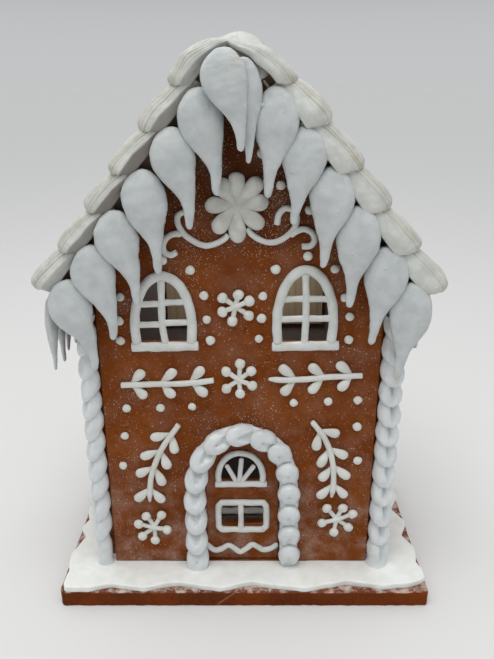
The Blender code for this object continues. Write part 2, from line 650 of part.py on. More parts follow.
def ridge_and_back_chain():
    """The roll of dough along the ridge, and the leaf chain of the back edge that it runs into."""
    start, end, lobes = ROOF_FRONT + 17 * MM, ROOF_BACK - 4 * MM, 3
    half, bulge, above_peak = 13.5 * MM, 1.06, 6.8 * MM
    seat = PEAK + 0.8 * MM / COS  # the roll's underside, at the ridge
    waist = PEAK - half * TAN * 0.55
    rings = []
    for i in range(2 * lobes + 1):
        y = start + (end - start) * i / (2 * lobes)
        rise = (PEAK + above_peak - waist) * (1.0 if i % 2 else 0.88)
        ring = [(0.0, seat), (-half, seat - half * TAN)]
        for k in range(1, 6):
            angle = math.pi * (1 - k / 6)
            ring.append((half * bulge * math.cos(angle), waist + rise * math.sin(angle)))
        ring.append((half, seat - half * TAN))
        rings.append([(HOUSE_X + x, y, z) for x, z in ring])
    pieces = [loft("ridge_roll", rings, CREAM, HELPERS)]
    for side, spread in ((-1, 1.0), (1, 0.985)):
        rings = []
        for start, end in zip(LEAF_ENDS, LEAF_ENDS[1:]):
            rings += leaf_rings(side, start + GAP, end - GAP, ROOF_BACK, -1, BACK_LEAF, spread, flutes=4)
        # the chain's first ring crosses the ridge, so that the two sides meet
        rings.insert(0, [(HOUSE_X - (x - HOUSE_X) * 0.5, y, z + 3 * MM) for x, y, z in rings[0]])
        pieces.append(loft(f"back_chain_{side}", rings, CREAM, HELPERS))
    fuse("ridge_and_back_chain", pieces)


board()
snow_sheet()
walls()
roof_boards()
back_panel()
door()
columns()
door_arch()
window_frames()
door_frames()
flower()
vines()
snowflakes()
branches()
icicles()
eave_icicles()
roof_leaves()
ridge_and_back_chain()
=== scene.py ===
"""The looks of the gingerbread house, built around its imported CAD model.

Walls, roof boards, door and back panel keep their CAD solids under new materials. Everything rolled, piped or
poured is modelled again here in fine meshes, each in the place of its CAD node. Shapes are worked out in
millimetres. A shape on a wall is given as (across, up, out): across from the house's middle, up from the
board's top and out from the wall. Every seed is fixed, so each run gives the same house.
"""

import math

import bpy
import numpy as np
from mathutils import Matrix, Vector


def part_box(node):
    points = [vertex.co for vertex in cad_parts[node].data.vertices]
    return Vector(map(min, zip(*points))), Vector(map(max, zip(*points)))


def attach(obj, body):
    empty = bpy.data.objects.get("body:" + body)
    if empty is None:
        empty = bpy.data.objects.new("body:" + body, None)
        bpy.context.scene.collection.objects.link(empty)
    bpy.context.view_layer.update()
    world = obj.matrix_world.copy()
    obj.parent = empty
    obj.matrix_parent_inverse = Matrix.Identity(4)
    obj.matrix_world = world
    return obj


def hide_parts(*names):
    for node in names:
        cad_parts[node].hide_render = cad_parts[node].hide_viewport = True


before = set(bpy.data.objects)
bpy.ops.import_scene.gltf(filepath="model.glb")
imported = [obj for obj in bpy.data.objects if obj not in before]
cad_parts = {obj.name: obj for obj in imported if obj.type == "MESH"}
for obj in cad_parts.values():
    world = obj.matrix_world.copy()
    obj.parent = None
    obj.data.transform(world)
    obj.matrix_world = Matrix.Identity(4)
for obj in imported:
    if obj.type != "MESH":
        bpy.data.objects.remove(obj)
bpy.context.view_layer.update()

MM = 0.001


# ---- places, read from the frame


def box_mm(node):
    """Lowest and highest corner of a CAD node, in millimetres."""
    low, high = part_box(node)
    return np.array(low) / MM, np.array(high) / MM


BOARD_LOW, BOARD_HIGH = box_mm("board")
WALL_LOW, WALL_HIGH = box_mm("wall_front")
ROOF_LOW, ROOF_HIGH = box_mm("roof_right")
BOARD_TOP = BOARD_HIGH[2]
FLOOR = WALL_LOW[2]
HOUSE_X = (WALL_LOW[0] + WALL_HIGH[0]) / 2
FRONT, BACK = WALL_LOW[1], box_mm("wall_back")[1][1]
LEFT, RIGHT = box_mm("wall_left")[0][0], box_mm("wall_right")[1][0]
DEPTH_MIDDLE = (FRONT + BACK) / 2
DOOR_FRONT = box_mm("door")[0][1]
ROOF_FRONT, ROOF_BACK, PEAK = ROOF_LOW[1], ROOF_HIGH[1], ROOF_HIGH[2]
SLOPE = math.radians(52.85)  # of the roof
COS, SIN, TAN = math.cos(SLOPE), math.sin(SLOPE), math.tan(SLOPE)
EAVE_X = ROOF_HIGH[0] - HOUSE_X


def on_wall(x, y, across, out):
    """Places by (across, up, out) from a wall's foot, given the directions of across and out."""
    turn = np.array((across, (0, 0, 1), out))
    return lambda points: points @ turn + (x, y, BOARD_TOP)


on_front = on_wall(HOUSE_X, FRONT, (1, 0, 0), (0, -1, 0))
on_door = on_wall(HOUSE_X, DOOR_FRONT, (1, 0, 0), (0, -1, 0))
on_back = on_wall(HOUSE_X, BACK, (-1, 0, 0), (0, 1, 0))
on_left = on_wall(LEFT, DEPTH_MIDDLE, (0, -1, 0), (-1, 0, 0))
on_right = on_wall(RIGHT, DEPTH_MIDDLE, (0, 1, 0), (1, 0, 0))


def on_slope(side):
    """Places by (down the slope from the ridge, out from the roof board, depth)."""

    def place(points):
        down, out, y = points.T
        x = HOUSE_X + side * (down * COS + out * SIN)
        return np.stack([x, y, PEAK - down * SIN + out * COS], -1)

    return place


# ---- shapes


def circle(sides):
    """Angles all the way round."""
    return np.linspace(0, math.tau, sides, endpoint=False)


def hump(distance, width):
    """1 at no distance, 0.37 at the width, and soon nothing past it."""
    return np.exp(-((distance / width) ** 2))


def signed_power(values, exponent):
    return np.sign(values) * np.abs(values) ** exponent


def bearing(points, middle):
    """Each flat point's direction from the middle."""
    return np.arctan2(*(points - middle).T[::-1])


def waves(points, size, seed):
    """Smooth unevenness of about -1 to 1: a few waves in random directions, about this long."""
    count = 7
    rng = np.random.default_rng(seed)
    total = np.zeros(len(points))
    for _ in range(count):
        direction = rng.normal(size=points.shape[1])
        direction *= math.tau / (size * rng.uniform(0.8, 1.6) * np.linalg.norm(direction))
        total += np.sin(points @ direction + rng.uniform(0, math.tau))
    return total / math.sqrt(count)


def rumpled(shape, amount, size, seed):
    """The shape pushed about unevenly, as dough that was pressed by hand."""
    points = shape["points"]
    moved = [waves(points, size, seed + axis) for axis in range(3)]
    return {**shape, "points": points + amount * np.stack(moved, -1)}


def placed(shapes, place):
    return [{**shape, "points": place(shape["points"])} for shape in shapes]


def skin(rings, marks=None):
    """A closed shape over rings of points: an array of ring, place in the ring, coordinate."""
    count, around = rings.shape[:2]
    points = rings.reshape(-1, 3)
    i = np.arange(count - 1)[:, None]
    j = np.arange(around)[None, :]
    a, b = i * around + j, i * around + (j + 1) % around
    c, d = b + around, a + around
    faces = [np.stack(corners, -1).reshape(-1, 3) for corners in ((a, b, c), (a, c, d))]
    marks = {name: values.reshape(-1) for name, values in (marks or {}).items()}
    edge = np.arange(around)
    for ring, offset, turn in ((rings[0], 0, -1), (rings[-1], (count - 1) * around, 1)):
        corners = [np.full(around, len(points)), offset + edge, offset + (edge + 1) % around]
        points = np.vstack([points, ring.mean(0)])
        faces.append(np.stack(corners, -1)[:, ::turn])
        marks = {name: np.append(values, values[offset:offset + around].mean()) for name, values in marks.items()}
    return {"points": points, "faces": np.vstack(faces), "marks": marks}


def smooth(points, fineness=10):
    """A dense Catmull-Rom line through points."""
    p = np.asarray(points, float)
    p = np.vstack([2 * p[0] - p[1], p, 2 * p[-1] - p[-2]])
    t = np.linspace(0, 1, fineness, endpoint=False)[:, None]
    parts = []
    for a, b, c, d in zip(p, p[1:], p[2:], p[3:]):
        parts.append(0.5 * (2 * b + (c - a) * t + (2 * a - 5 * b + 4 * c - d) * t**2
                            + (3 * b - a - 3 * c + d) * t**3))
    return np.vstack(parts + [p[-2:-1]])


def at_lengths(line, lengths):
    """Places on a dense line at these distances from its start."""
    run = np.append(0, np.cumsum(np.linalg.norm(np.diff(line, axis=0), axis=1)))
    return np.stack([np.interp(lengths, run, column) for column in line.T], -1)


def line_length(line):
    return np.linalg.norm(np.diff(line, axis=0), axis=1).sum()


def evenly(corners, count):
    """Places at even distances round a closed outline, whose last corner is its first."""
    line = np.array(corners, float)
    return at_lengths(line, np.linspace(0, line_length(line), count, endpoint=False))


def rounded_box(low, high, radii, steps):
    """A closed line round a box, with a radius for each corner from the upper right one leftwards."""
    low, high = np.array(low), np.array(high)
    line = []
    for quarter, (signs, radius) in enumerate(zip(((1, 1), (-1, 1), (-1, -1), (1, -1)), radii)):
        centre = (low + high) / 2 + np.array(signs) * ((high - low) / 2 - radius)
        angles = np.linspace(quarter, quarter + 1, steps) * math.pi / 2
        line += [centre + radius * np.array((math.cos(a), math.sin(a))) for a in angles]
    return line + line[:1]


def as_3d(points):
    p = np.asarray(points, float)
    return p if p.shape[1] == 3 else np.column_stack([p, np.zeros(len(p))])


SQUARE_ENDS = (True, True)


def rope(points, radius, sink=0.15, squash=0.85, cut=(False, False), profile=None, seed=0, sides=18,
         uneven=0.025, step=0.8):
    """A strand of dough through (across, up) or (across, up, out) points, lying on out = -sink.

    profile gives the share of the radius at each share of the length. An end is round, or cut square.
    """
    line = smooth(as_3d(points))
    total = line_length(line)
    thick = profile or (lambda share: np.ones_like(share))
    quarter = np.linspace(0, math.pi / 2, 7)[:-1]
    first, last = (radius * float(thick(np.array(share))) for share in (0.0, 1.0))
    inner = np.linspace(first, total - last, max(3, math.ceil((total - first - last) / step)))
    ends = []
    for square, size in zip(cut, (first, last)):
        rounded = size * (1 - np.cos(quarter)), np.maximum(np.sin(quarter), 0.02)
        ends.append((np.array([0.0, 0.12, 0.35]), np.array([0.82, 0.94, 1.0])) if square else rounded)
    (first_at, first_cap), (last_at, last_cap) = ends
    lengths = np.concatenate([first_at, inner, total - last_at[::-1]])
    caps = np.concatenate([first_cap, np.ones(len(inner)), last_cap[::-1]])
    places = at_lengths(line, lengths)
    ahead = np.gradient(places, axis=0)
    ahead /= np.linalg.norm(ahead, axis=1)[:, None]
    beside = np.cross((0, 0, 1), ahead)
    beside /= np.linalg.norm(beside, axis=1)[:, None]
    above = np.cross(ahead, beside)
    own = thick(lengths / total) * (1 + uneven * waves(lengths[:, None], 9, seed))
    half = (radius * own * caps)[:, None, None]
    angle = circle(sides)
    ring = np.cos(angle)[None, :, None] * beside[:, None] + np.sin(angle)[None, :, None] * above[:, None]
    rings = places[:, None] + half * ring
    rings[..., 2] += (radius * own)[:, None]
    rings[..., 2] = np.where(rings[..., 2] < 0, 0.3, 1) * rings[..., 2] * squash - sink
    return rumpled(skin(rings), 0.035 * radius, 6, seed + 50)


def teardrop(root, end, width, seed=0, start=0.3):
    """A drop of dough from its thin root to its round end."""

    def swell(share):
        t = np.clip(share / 0.7, 0, 1)
        return start + (1 - start) * t * t * (3 - 2 * t)

    return rope([root, end], width / 2, squash=0.62, profile=swell, seed=seed, sides=20, step=0.6)


def ball(centre, radius, squash=0.8, sink=0.3, seed=0, rings=13, sides=20):
    """A ball of dough pressed against the wall, off round."""
    polar = np.linspace(0.06, math.pi - 0.06, rings)[:, None]
    angle = circle(sides)[None, :]
    across = centre[0] + radius * np.sin(polar) * np.cos(angle)
    up = centre[1] + radius * np.sin(polar) * np.sin(angle)
    out = radius * squash * (1 + np.cos(polar)) - sink + 0 * angle
    out += centre[2] if len(centre) > 2 else 0
    return rumpled(skin(np.stack([across, up, out], -1)), 0.05 * radius, 3.6 * radius / 2.4, seed)


def slab(outline, low, high, rounding, uneven=0.1, seed=0, rings=16, levels=5):
    """A flat sheet inside an outline that can be seen whole from its middle, with rounded rims."""
    outline = np.asarray(outline, float)
    middle = outline.mean(0)
    ahead = np.roll(outline, -1, axis=0) - np.roll(outline, 1, axis=0)
    ahead /= np.linalg.norm(ahead, axis=1)[:, None]
    turn = np.sign(np.cross(ahead, outline - middle).sum())
    outward = turn * np.stack([-ahead[:, 1], ahead[:, 0]], -1)
    arc = np.linspace(0, math.pi / 2, 5)
    rims = [(low + rounding * (1 - math.sin(a)), rounding * (1 - math.cos(a))) for a in arc[::-1]]
    rims += [(z, 0.0) for z in np.linspace(low + rounding, high - rounding, levels)[1:-1]]
    rims += [(high - rounding * (1 - math.sin(a)), rounding * (1 - math.cos(a))) for a in arc]
    layers = [np.column_stack([outline - outward * inset, np.full(len(outline), z)]) for z, inset in rims]
    for face, z in ((1, high), (-1, low)):
        base = outline - outward * rounding * 1.6
        inner = [np.column_stack([middle + (base - middle) * share, np.full(len(outline), z)])
                 for share in np.linspace(1, 0.02, rings)]
        layers = layers + inner if face > 0 else inner[::-1] + layers
    points = np.stack(layers)
    flat = points.reshape(-1, 3)
    rim = waves(flat, 7, seed)[:, None] * np.tile(np.column_stack([outward, 0 * outward[:, :1]]), (len(layers), 1))
    flat += uneven * rim
    flat[:, 2] += uneven * 0.8 * waves(flat, 24, seed + 1)
    return skin(points)


# ---- materials


def srgb(red, green, blue):
    """Linear colour of an sRGB one."""
    shares = [c / 255 for c in (red, green, blue)]
    return tuple(c / 12.92 if c <= 0.04045 else ((c + 0.055) / 1.055) ** 2.4 for c in shares)


def add_node(tree, kind, inputs=(), **settings):
    """A shader node with these settings, and for each input a value or the socket that feeds it."""
    node = tree.nodes.new("ShaderNode" + kind)
    for name, value in settings.items():
        setattr(node, name, value)
    for socket, value in dict(inputs).items():
        if isinstance(value, bpy.types.NodeSocket):
            tree.links.new(value, node.inputs[socket])
        elif value is not None:
            node.inputs[socket].default_value = value
    return node


class Look:
    """A Principled material, built node by node over the object's own coordinates."""

    def __init__(self, name, roughness, specular, coat=0.0, coat_roughness=0.3):
        self.material = bpy.data.materials.new(name)
        self.material.use_nodes = True
        self.tree = self.material.node_tree
        self.shader = self.tree.nodes["Principled BSDF"]
        for socket, value in (("Roughness", roughness), ("Specular IOR Level", specular), ("Coat Weight", coat),
                              ("Coat Roughness", coat_roughness)):
            self.shader.inputs[socket].default_value = value
        self.place = self.add("TexCoord").outputs["Object"]
        self.normal = None

    def add(self, kind, inputs=(), **settings):
        return add_node(self.tree, kind, inputs, **settings)

    def noise(self, size, detail=3.0, stretch=(1, 1, 1), shift=0.0):
        """Cloudy noise whose features are about this many millimetres across."""
        place = self.add("Mapping", {"Vector": self.place, "Scale": stretch, "Location": (shift,) * 3})
        inputs = {"Vector": place.outputs[0], "Scale": 1 / (size * MM), "Detail": detail, "Roughness": 0.55}
        return self.add("TexNoise", inputs).outputs["Fac"]

    def height(self):
        """The surface's height, in metres."""
        return self.add("SeparateXYZ", {"Vector": self.place}).outputs["Z"]

    def ramp(self, value, low, high, to_low=0.0, to_high=1.0):
        """to_low where the value is low, to_high where it is high, and a soft change between."""
        inputs = {"Value": value, "From Min": low, "From Max": high, "To Min": to_low, "To Max": to_high}
        return self.add("MapRange", inputs, interpolation_type="SMOOTHSTEP").outputs[0]

    def cloud(self, size, detail, low, high, to_low=0.0, to_high=1.0, shift=0.0):
        """Cloudy noise, sharpened between low and high."""
        return self.ramp(self.noise(size, detail, shift=shift), low, high, to_low, to_high)

    def math(self, operation, a, b=None):
        return self.add("Math", {0: a, 1: b}, operation=operation).outputs[0]

    def mark(self, name):
        """A value stored on the mesh."""
        return self.add("Attribute", attribute_name=name).outputs["Fac"]

    def product(self, a, b):
        return self.math("MULTIPLY", a, b)

    def mix(self, share, a, b):
        """Colour a, and this share of colour b over it."""
        a, b = ((*c, 1.0) if isinstance(c, tuple) else c for c in (a, b))
        return self.add("Mix", {0: share, 6: a, 7: b}, data_type="RGBA").outputs[2]

    def bump(self, height, depth):
        """Relief this many millimetres deep."""
        inputs = {"Height": height, "Distance": depth * MM, "Normal": self.normal}
        self.normal = self.add("Bump", inputs).outputs[0]

    def done(self, colour, roughness=None):
        self.tree.links.new(colour, self.shader.inputs["Base Color"])
        if roughness is not None:
            self.tree.links.new(roughness, self.shader.inputs["Roughness"])
        if self.normal is not None:
            self.tree.links.new(self.normal, self.shader.inputs["Normal"])
        return self.material


def specks(look, size, share):
    """Small round specks, about this many millimetres apart, in this share of their places."""
    inputs = {"Vector": look.place, "Scale": 1 / (size * MM), "Randomness": 1.0}
    cells = look.add("TexVoronoi", inputs)
    chosen = look.math("LESS_THAN", look.add("SeparateColor", {"Color": cells.outputs["Color"]}).outputs[0], share)
    return look.product(chosen, look.ramp(cells.outputs["Distance"], 0.32, 0.12))


def brown_dough(name, light, dark, shade=(0, 0, 0), pale_near_ground=0.0, painted_eave_shade=None, scratched=False,
                sugared_top=None):
    """Baked brown dough: cloudy browns, fine grain and darker patches, a paler film near the ground and in patches
    with sugar specks, and painted shade under the eaves.

    The eave shade argument gives the heights in millimetres between which painted shade under the eaves sets in, and
    how much of it.
    """
    look = Look(name, roughness=0.8, specular=0.11)
    clouds, grain = look.noise(34, 4), look.noise(1.1, 5)
    colour = look.mix(look.ramp(clouds, 0.32, 0.68), dark, light)
    colour = look.mix(look.ramp(grain, 0.35, 0.75, 0.0, 0.30), colour, tuple(1.45 * c for c in light))
    colour = look.mix(look.cloud(2.6, 4, 0.56, 0.75, 0.0, 0.45, 0.3), colour, shade)
    # painted shade: the wall darkens towards the gable, under the eaves and icicles
    if painted_eave_shade:
        low, high, share = painted_eave_shade
        rise = look.ramp(look.height(), low * MM, high * MM)
        rise = look.product(rise, look.cloud(22, 3, 0.2, 0.7, 0.7 * share, share, 0.1))
        colour = look.mix(rise, colour, shade)
    # a paler greyish film towards the ground and in patches, and pale sugar specks
    if pale_near_ground:
        near_ground = look.ramp(look.height(), 95 * MM, 12 * MM, 0.25, 1.0)
        patches = look.cloud(13, 4, 0.38, 0.72, shift=0.7)
        film = look.product(look.product(near_ground, patches), pale_near_ground)
        film = look.product(film, look.cloud(0.9, 3, 0.3, 0.7, 0.55, 1.3, 0.5))
        colour = look.mix(film, colour, srgb(178, 150, 136))
        dots = look.product(specks(look, 1.5, 0.16), look.ramp(patches, 0.1, 0.9, 0.25, 0.8))
        colour = look.mix(dots, colour, srgb(205, 188, 176))
    if sugared_top:
        film = look.ramp(look.height(), (sugared_top - 0.6) * MM, (sugared_top - 0.2) * MM)
        film = look.product(film, look.cloud(5, 5, 0.42, 0.66, 0.04, 0.8, 0.4))
        colour = look.mix(film, colour, srgb(212, 198, 188))
    if scratched:
        colour = look.mix(look.product(look.mark("scratch"), 0.8), colour, srgb(186, 128, 88))
    look.bump(look.noise(16, 3), 0.5)
    look.bump(look.noise(1.3, 5, shift=0.2), 0.16)
    return look.done(colour, look.ramp(clouds, 0.3, 0.7, 0.70, 0.86))


def white_dough(name, tone, low_tone, roughness=0.46, gloss=0.0, grain=0.05, stain=0.0, stain_tone=None):
    """White salt dough: faintly mottled, with fine grain, pores and, where handled, tan stains."""
    look = Look(name, roughness=roughness, specular=0.45, coat=gloss, coat_roughness=0.22)
    mottle = look.noise(7, 4)
    colour = look.mix(look.ramp(mottle, 0.3, 0.7), low_tone, tone)
    pores = look.cloud(0.8, 3, 0.66, 0.8, shift=0.4)
    colour = look.mix(look.product(pores, 0.25), colour, tuple(0.7 * c for c in low_tone))
    if stain:
        patch = look.cloud(11, 5, 0.60, 0.78, 0.0, stain, 0.9)
        colour = look.mix(patch, colour, stain_tone or srgb(196, 178, 140))
    look.bump(look.noise(5.5, 3, shift=0.6), 0.35)
    look.bump(look.noise(0.9, 4), grain)
    return look.done(colour, look.ramp(mottle, 0.3, 0.7, roughness - 0.05, roughness + 0.08))


def leaf_dough():
    """The leaves' dough: creamy white, tan along the grooves and at the ends, with painted shade, grey deepening to
    brown, in the hollow beneath and on curled flanks.
    """
    look = Look("leaf_dough", roughness=0.5, specular=0.4)
    mottle = look.noise(6, 4)
    colour = look.mix(look.ramp(mottle, 0.3, 0.7), srgb(196, 198, 193), srgb(213, 215, 211))
    tint = look.product(look.mark("groove"), look.cloud(7, 3, 0.25, 0.6, 0.45, 1.0, 0.3))
    colour = look.mix(look.product(tint, 0.85), colour, srgb(156, 141, 98))
    worn = look.product(look.mark("worn"), look.cloud(3.4, 4, 0.42, 0.7, shift=0.8))
    colour = look.mix(look.product(worn, 0.4), colour, srgb(188, 172, 136))
    # painted shade: grey on the curled flank and at the hollow's edge, deepening to brown inside the hollow
    colour = look.mix(look.ramp(look.mark("under"), 0.0, 0.5), colour, srgb(134, 129, 122))
    colour = look.mix(look.ramp(look.mark("under"), 0.5, 1.0), colour, srgb(112, 88, 70))
    look.bump(look.noise(5, 3, shift=0.6), 0.3)
    look.bump(look.noise(0.8, 4), 0.07)
    return look.done(colour, look.ramp(mottle, 0.3, 0.7, 0.44, 0.6))


def painted_shade_sheet():
    """A grey sheet of painted shade, for what shows behind the openings where no light reaches."""
    look = Look("painted_shade_sheet", roughness=0.8, specular=0.3)
    look.bump(look.noise(1.2, 3), 0.08)
    return look.done(look.mix(look.noise(6, 4), srgb(100, 97, 94), srgb(120, 116, 112)))


def tan_card():
    """The panel behind the windows: tan, with faint upright streaks."""
    look = Look("tan_card", roughness=0.85, specular=0.2)
    streaks = look.noise(1.6, 3, stretch=(1, 1, 0.06))
    colour = look.mix(look.ramp(streaks, 0.3, 0.7), srgb(143, 130, 107), srgb(162, 148, 123))
    look.bump(streaks, 0.1)
    return look.done(colour)


def glitter():
    """Grains of sugar."""
    look = Look("sugar_glitter", roughness=0.25, specular=0.8)
    return look.done(look.mix(look.noise(2, 2), srgb(255, 252, 248), srgb(235, 226, 218)))


LOOKS = {
    # the walls' colour carries painted shade under the eaves, from 165 mm up
    "wall": brown_dough("wall_dough", srgb(128, 67, 23), srgb(109, 52, 14), srgb(54, 25, 12), pale_near_ground=0.6,
                        painted_eave_shade=(165, 250, 0.8)),
    "roof": brown_dough("roof_dough", srgb(120, 74, 46), srgb(92, 52, 32), srgb(52, 28, 18)),
    "board": brown_dough("board_dough", srgb(118, 55, 17), srgb(88, 39, 10), srgb(58, 26, 9), scratched=True,
                         sugared_top=BOARD_TOP),
    "icicle": white_dough("icicle_dough", srgb(203, 208, 208), srgb(189, 194, 195), stain=0.4, grain=0.16),
    "rope": white_dough("rope_dough", srgb(217, 219, 217), srgb(204, 206, 202), stain=0.15),
    "bead": white_dough("bead_dough", srgb(224, 228, 229), srgb(212, 217, 219), roughness=0.34, gloss=0.35,
                        grain=0.02),
    "cream": white_dough("cream_dough", srgb(224, 225, 220), srgb(212, 212, 205), stain=0.3,
                         stain_tone=srgb(206, 196, 158)),
    "flower": white_dough("flower_dough", srgb(210, 210, 205), srgb(186, 186, 179), stain=0.4, grain=0.14,
                          stain_tone=srgb(190, 176, 136)),
    "snow": white_dough("snow_icing", srgb(243, 245, 242), srgb(234, 236, 232), roughness=0.62, grain=0.06,
                        stain=0.08),
    "leaf": leaf_dough(),
    "card": tan_card(),
    "glitter": glitter(),
    "shade_sheet": painted_shade_sheet(),
}


# ---- pieces


def piece(name, shapes, look, place=None):
    """One object made of closed shapes in millimetres, which rides on the house.

    It stands for the CAD node of its own name, if there is one.
    """
    points, faces, offset = [], [], 0
    marks = {}
    for shape in placed(shapes, place) if place else shapes:
        corners = shape["points"][shape["faces"]]
        inside_out = np.linalg.det(corners - shape["points"].mean(0)).sum() < 0
        faces.append(shape["faces"][:, ::-1 if inside_out else 1] + offset)
        points.append(shape["points"] * MM)
        for key in shape["marks"]:
            marks.setdefault(key, []).append(shape["marks"][key])
        offset += len(shape["points"])
    mesh = bpy.data.meshes.new(name)
    mesh.from_pydata(np.vstack(points), [], np.vstack(faces))
    mesh.shade_smooth()
    for key, values in marks.items():
        mesh.attributes.new(key, "FLOAT", "POINT").data.foreach_set("value", np.concatenate(values))
    mesh.materials.append(LOOKS[look])
    thing = bpy.data.objects.new(name, mesh)
    bpy.context.scene.collection.objects.link(thing)
    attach(thing, "root")
    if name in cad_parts:
        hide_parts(name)


def plates():
    """The flat pieces keep their CAD solids, with softened edges."""
    looks = {"wall": ("wall_front", "wall_back", "wall_left", "wall_right", "door"),
             "roof": ("roof_left", "roof_right"), "card": ("back_panel",)}
    for look, name in ((look, name) for look, names in looks.items() for name in names):
        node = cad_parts[name]
        node.data.materials.clear()
        node.data.materials.append(LOOKS[look])
        weld = node.modifiers.new("one_skin", "WELD")
        weld.merge_threshold = 0.01 * MM
        bevel = node.modifiers.new("soft_edges", "BEVEL")
        bevel.width, bevel.segments = (0.1 if look == "card" else 0.5) * MM, 3
        bevel.limit_method, bevel.angle_limit = "ANGLE", math.radians(30)
        bevel.harden_normals = True


def snow_outline():
    """The outline of the CAD's snow sheet at its top, rounded off and a little larger."""
    count, softness, grown = 600, 1.2, 1.0
    top = box_mm("snow_sheet")[1][2] * MM
    corners = {tuple(np.round(np.array(v.co[:2]) / MM, 3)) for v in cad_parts["snow_sheet"].data.vertices
               if abs(v.co[2] - top) < 0.01 * MM}
    corners = np.array(sorted(corners))
    corners = corners[np.argsort(bearing(corners, corners.mean(0)))]
    line = evenly(np.vstack([corners, corners[:1]]), count)
    spacing = line_length(np.vstack([line, line[:1]])) / count
    reach = math.ceil(3 * softness / spacing)
    steps = np.arange(-reach, reach + 1)
    weights = np.exp(-((steps * spacing / softness) ** 2) / 2)
    line = np.sum([w * np.roll(line, k, axis=0) for k, w in zip(steps, weights)], 0) / weights.sum()
    ahead = np.roll(line, -1, axis=0) - np.roll(line, 1, axis=0)
    line += grown * np.stack([ahead[:, 1], -ahead[:, 0]], -1) / np.linalg.norm(ahead, axis=1)[:, None]
    half = (BOARD_HIGH - BOARD_LOW)[:2] / 2 - 0.3
    return np.clip(line, -half, half)


def snow_sheet():
    sheet = slab(snow_outline(), BOARD_TOP - 0.1, FLOOR + 0.1, 0.7, uneven=0.16, seed=11)
    piece("snow_sheet", [sheet], "snow")


def board():
    """The brown board: rounded front left corner, a chipped front right one, and a scratch on its front."""
    half = (BOARD_HIGH - BOARD_LOW)[:2] / 2
    outline = evenly(rounded_box(-half, half, (1.6, 1.6, 3.2, 1.4), 7), 900)
    shape = slab(outline, 0.0, BOARD_TOP, 0.7, uneven=0.12, seed=3, rings=12, levels=12)
    points = shape["points"]
    x, y, z = points.T
    at_front = np.clip((y + half[1] - 3) / -3, 0, 1)  # 1 on the front face, 0 from 3 mm behind it
    y += 0.16 * at_front * waves(points, 2.2, 21)
    chips = hump(x - 96, 5) * hump(z - BOARD_TOP, 1.6) * (0.6 + 0.6 * waves(points, 3, 8))
    chips += 0.6 * hump(x + 99, 2) * hump(z - 5, 2)
    y += 1.1 * at_front * np.clip(chips, 0, 2)
    z -= 0.5 * at_front * np.clip(chips, 0, 2)
    scratch_start, scratch_end = np.array((-13.8, 1.6)), np.array((-5.6, 8.2))
    along = (scratch_end - scratch_start) / np.linalg.norm(scratch_end - scratch_start)
    across = (np.stack([x, z], -1) - scratch_start) @ (-along[1], along[0])
    scratch = at_front * hump(across, 0.4) * ((x > scratch_start[0] - 0.7) & (x < scratch_end[0] + 0.6))
    y += 0.5 * scratch
    shape["marks"] = {"scratch": scratch}
    shape["points"] = np.stack([x, np.maximum(y, -half[1]), np.maximum(z, 0)], -1)
    piece("board", [shape], "board")


def inside_floor():
    """The floor inside: brown dough in front, a grey sheet of painted shade behind and up the back, and a pale strip
    between.
    """
    strip_y = FRONT + 38.6  # where brown floor gives way to the sheet of painted shade, before the strip
    inner_left, inner_right = -69, 65
    panel_top = box_mm("back_panel")[1][2]
    back_inside = box_mm("wall_back")[0][1]

    def sheet(low, high, thick, seed):
        corners = [(inner_left, low), (inner_right, low), (inner_right, high), (inner_left, high)]
        return slab(evenly(corners + corners[:1], 160), 0, thick, 0.3 * thick, 0.0, seed)

    floor, rear = sheet(FRONT + 6, strip_y, 0.8, 31), sheet(strip_y + 0.3, back_inside - 0.5, 0.8, 32)
    for shape in (floor, rear):
        shape["points"][:, 2] += FLOOR
    piece("inside_floor", [floor], "wall")
    wall = sheet(FLOOR + 1, panel_top - 20, 0.2, 33)
    x, z, out = wall["points"].T
    wall["points"] = np.stack([x, back_inside - 0.04 - out, z], -1)
    # painted shade: a grey sheet over the rear floor and up the back wall inside, where the interior lies in shade
    piece("inside_shade_sheet", [rear, wall], "shade_sheet")
    strip = rope([(-34, -0.6, 0), (0, 0.3, 0), (32, -0.3, 0)], 3.0, squash=0.5, seed=4, uneven=0.08)
    x, y, z = strip["points"].T
    strip["points"] = np.stack([x, FRONT + 43.9 + y, FLOOR + 0.7 + z], -1)
    piece("inside_strip", [strip], "snow")


# ---- ropes on the walls

WINDOW_ROPE, UPRIGHT_ROPE, CROSS_ROPE = 2.4, 1.75, 1.6  # radii
# The arch's line from foot to foot, the sill's ends, the upright and the two rows of cross bars
WINDOWS = {
    "window_left": {
        "arch": ((-51.0, 137.6), (-51.5, 145), (-51.0, 153), (-48.9, 161.4), (-44.2, 168.8), (-37.4, 172.0),
                 (-30.4, 168.8), (-26.0, 161.6), (-23.9, 153), (-23.5, 145.5), (-23.9, 137.8)),
        "sill": ((-53.7, 135.4), (-37, 135.6), (-20.5, 136.2)),
        "upright": ((-36.9, 137.6), (-38.0, 147), (-37.9, 158), (-37.6, 170)),
        "cross": (((-50.6, 146.9), (-38.6, 147.3)), ((-37.0, 148.0), (-24.6, 148.4)),
                  ((-50.4, 157.5), (-38.6, 157.9)), ((-37.0, 158.4), (-25.2, 159.0))),
    },
    "window_right": {
        "arch": ((18.9, 137.8), (18.3, 146), (18.7, 155), (20.9, 164.0), (25.2, 171.6), (31.5, 174.9),
                 (38.5, 171.8), (43.1, 164.2), (45.5, 155), (45.9, 146), (45.2, 137.8)),
        "sill": ((15.9, 135.6), (32, 136.0), (49.1, 136.2)),
        "upright": ((32.0, 137.6), (32.4, 147), (32.2, 160), (31.6, 173)),
        "cross": (((19.2, 150.0), (31.6, 150.2)), ((32.8, 150.3), (45.2, 150.3)),
                  ((19.6, 160.2), (31.6, 160.4)), ((32.8, 160.4), (44.4, 160.2))),
    },
}


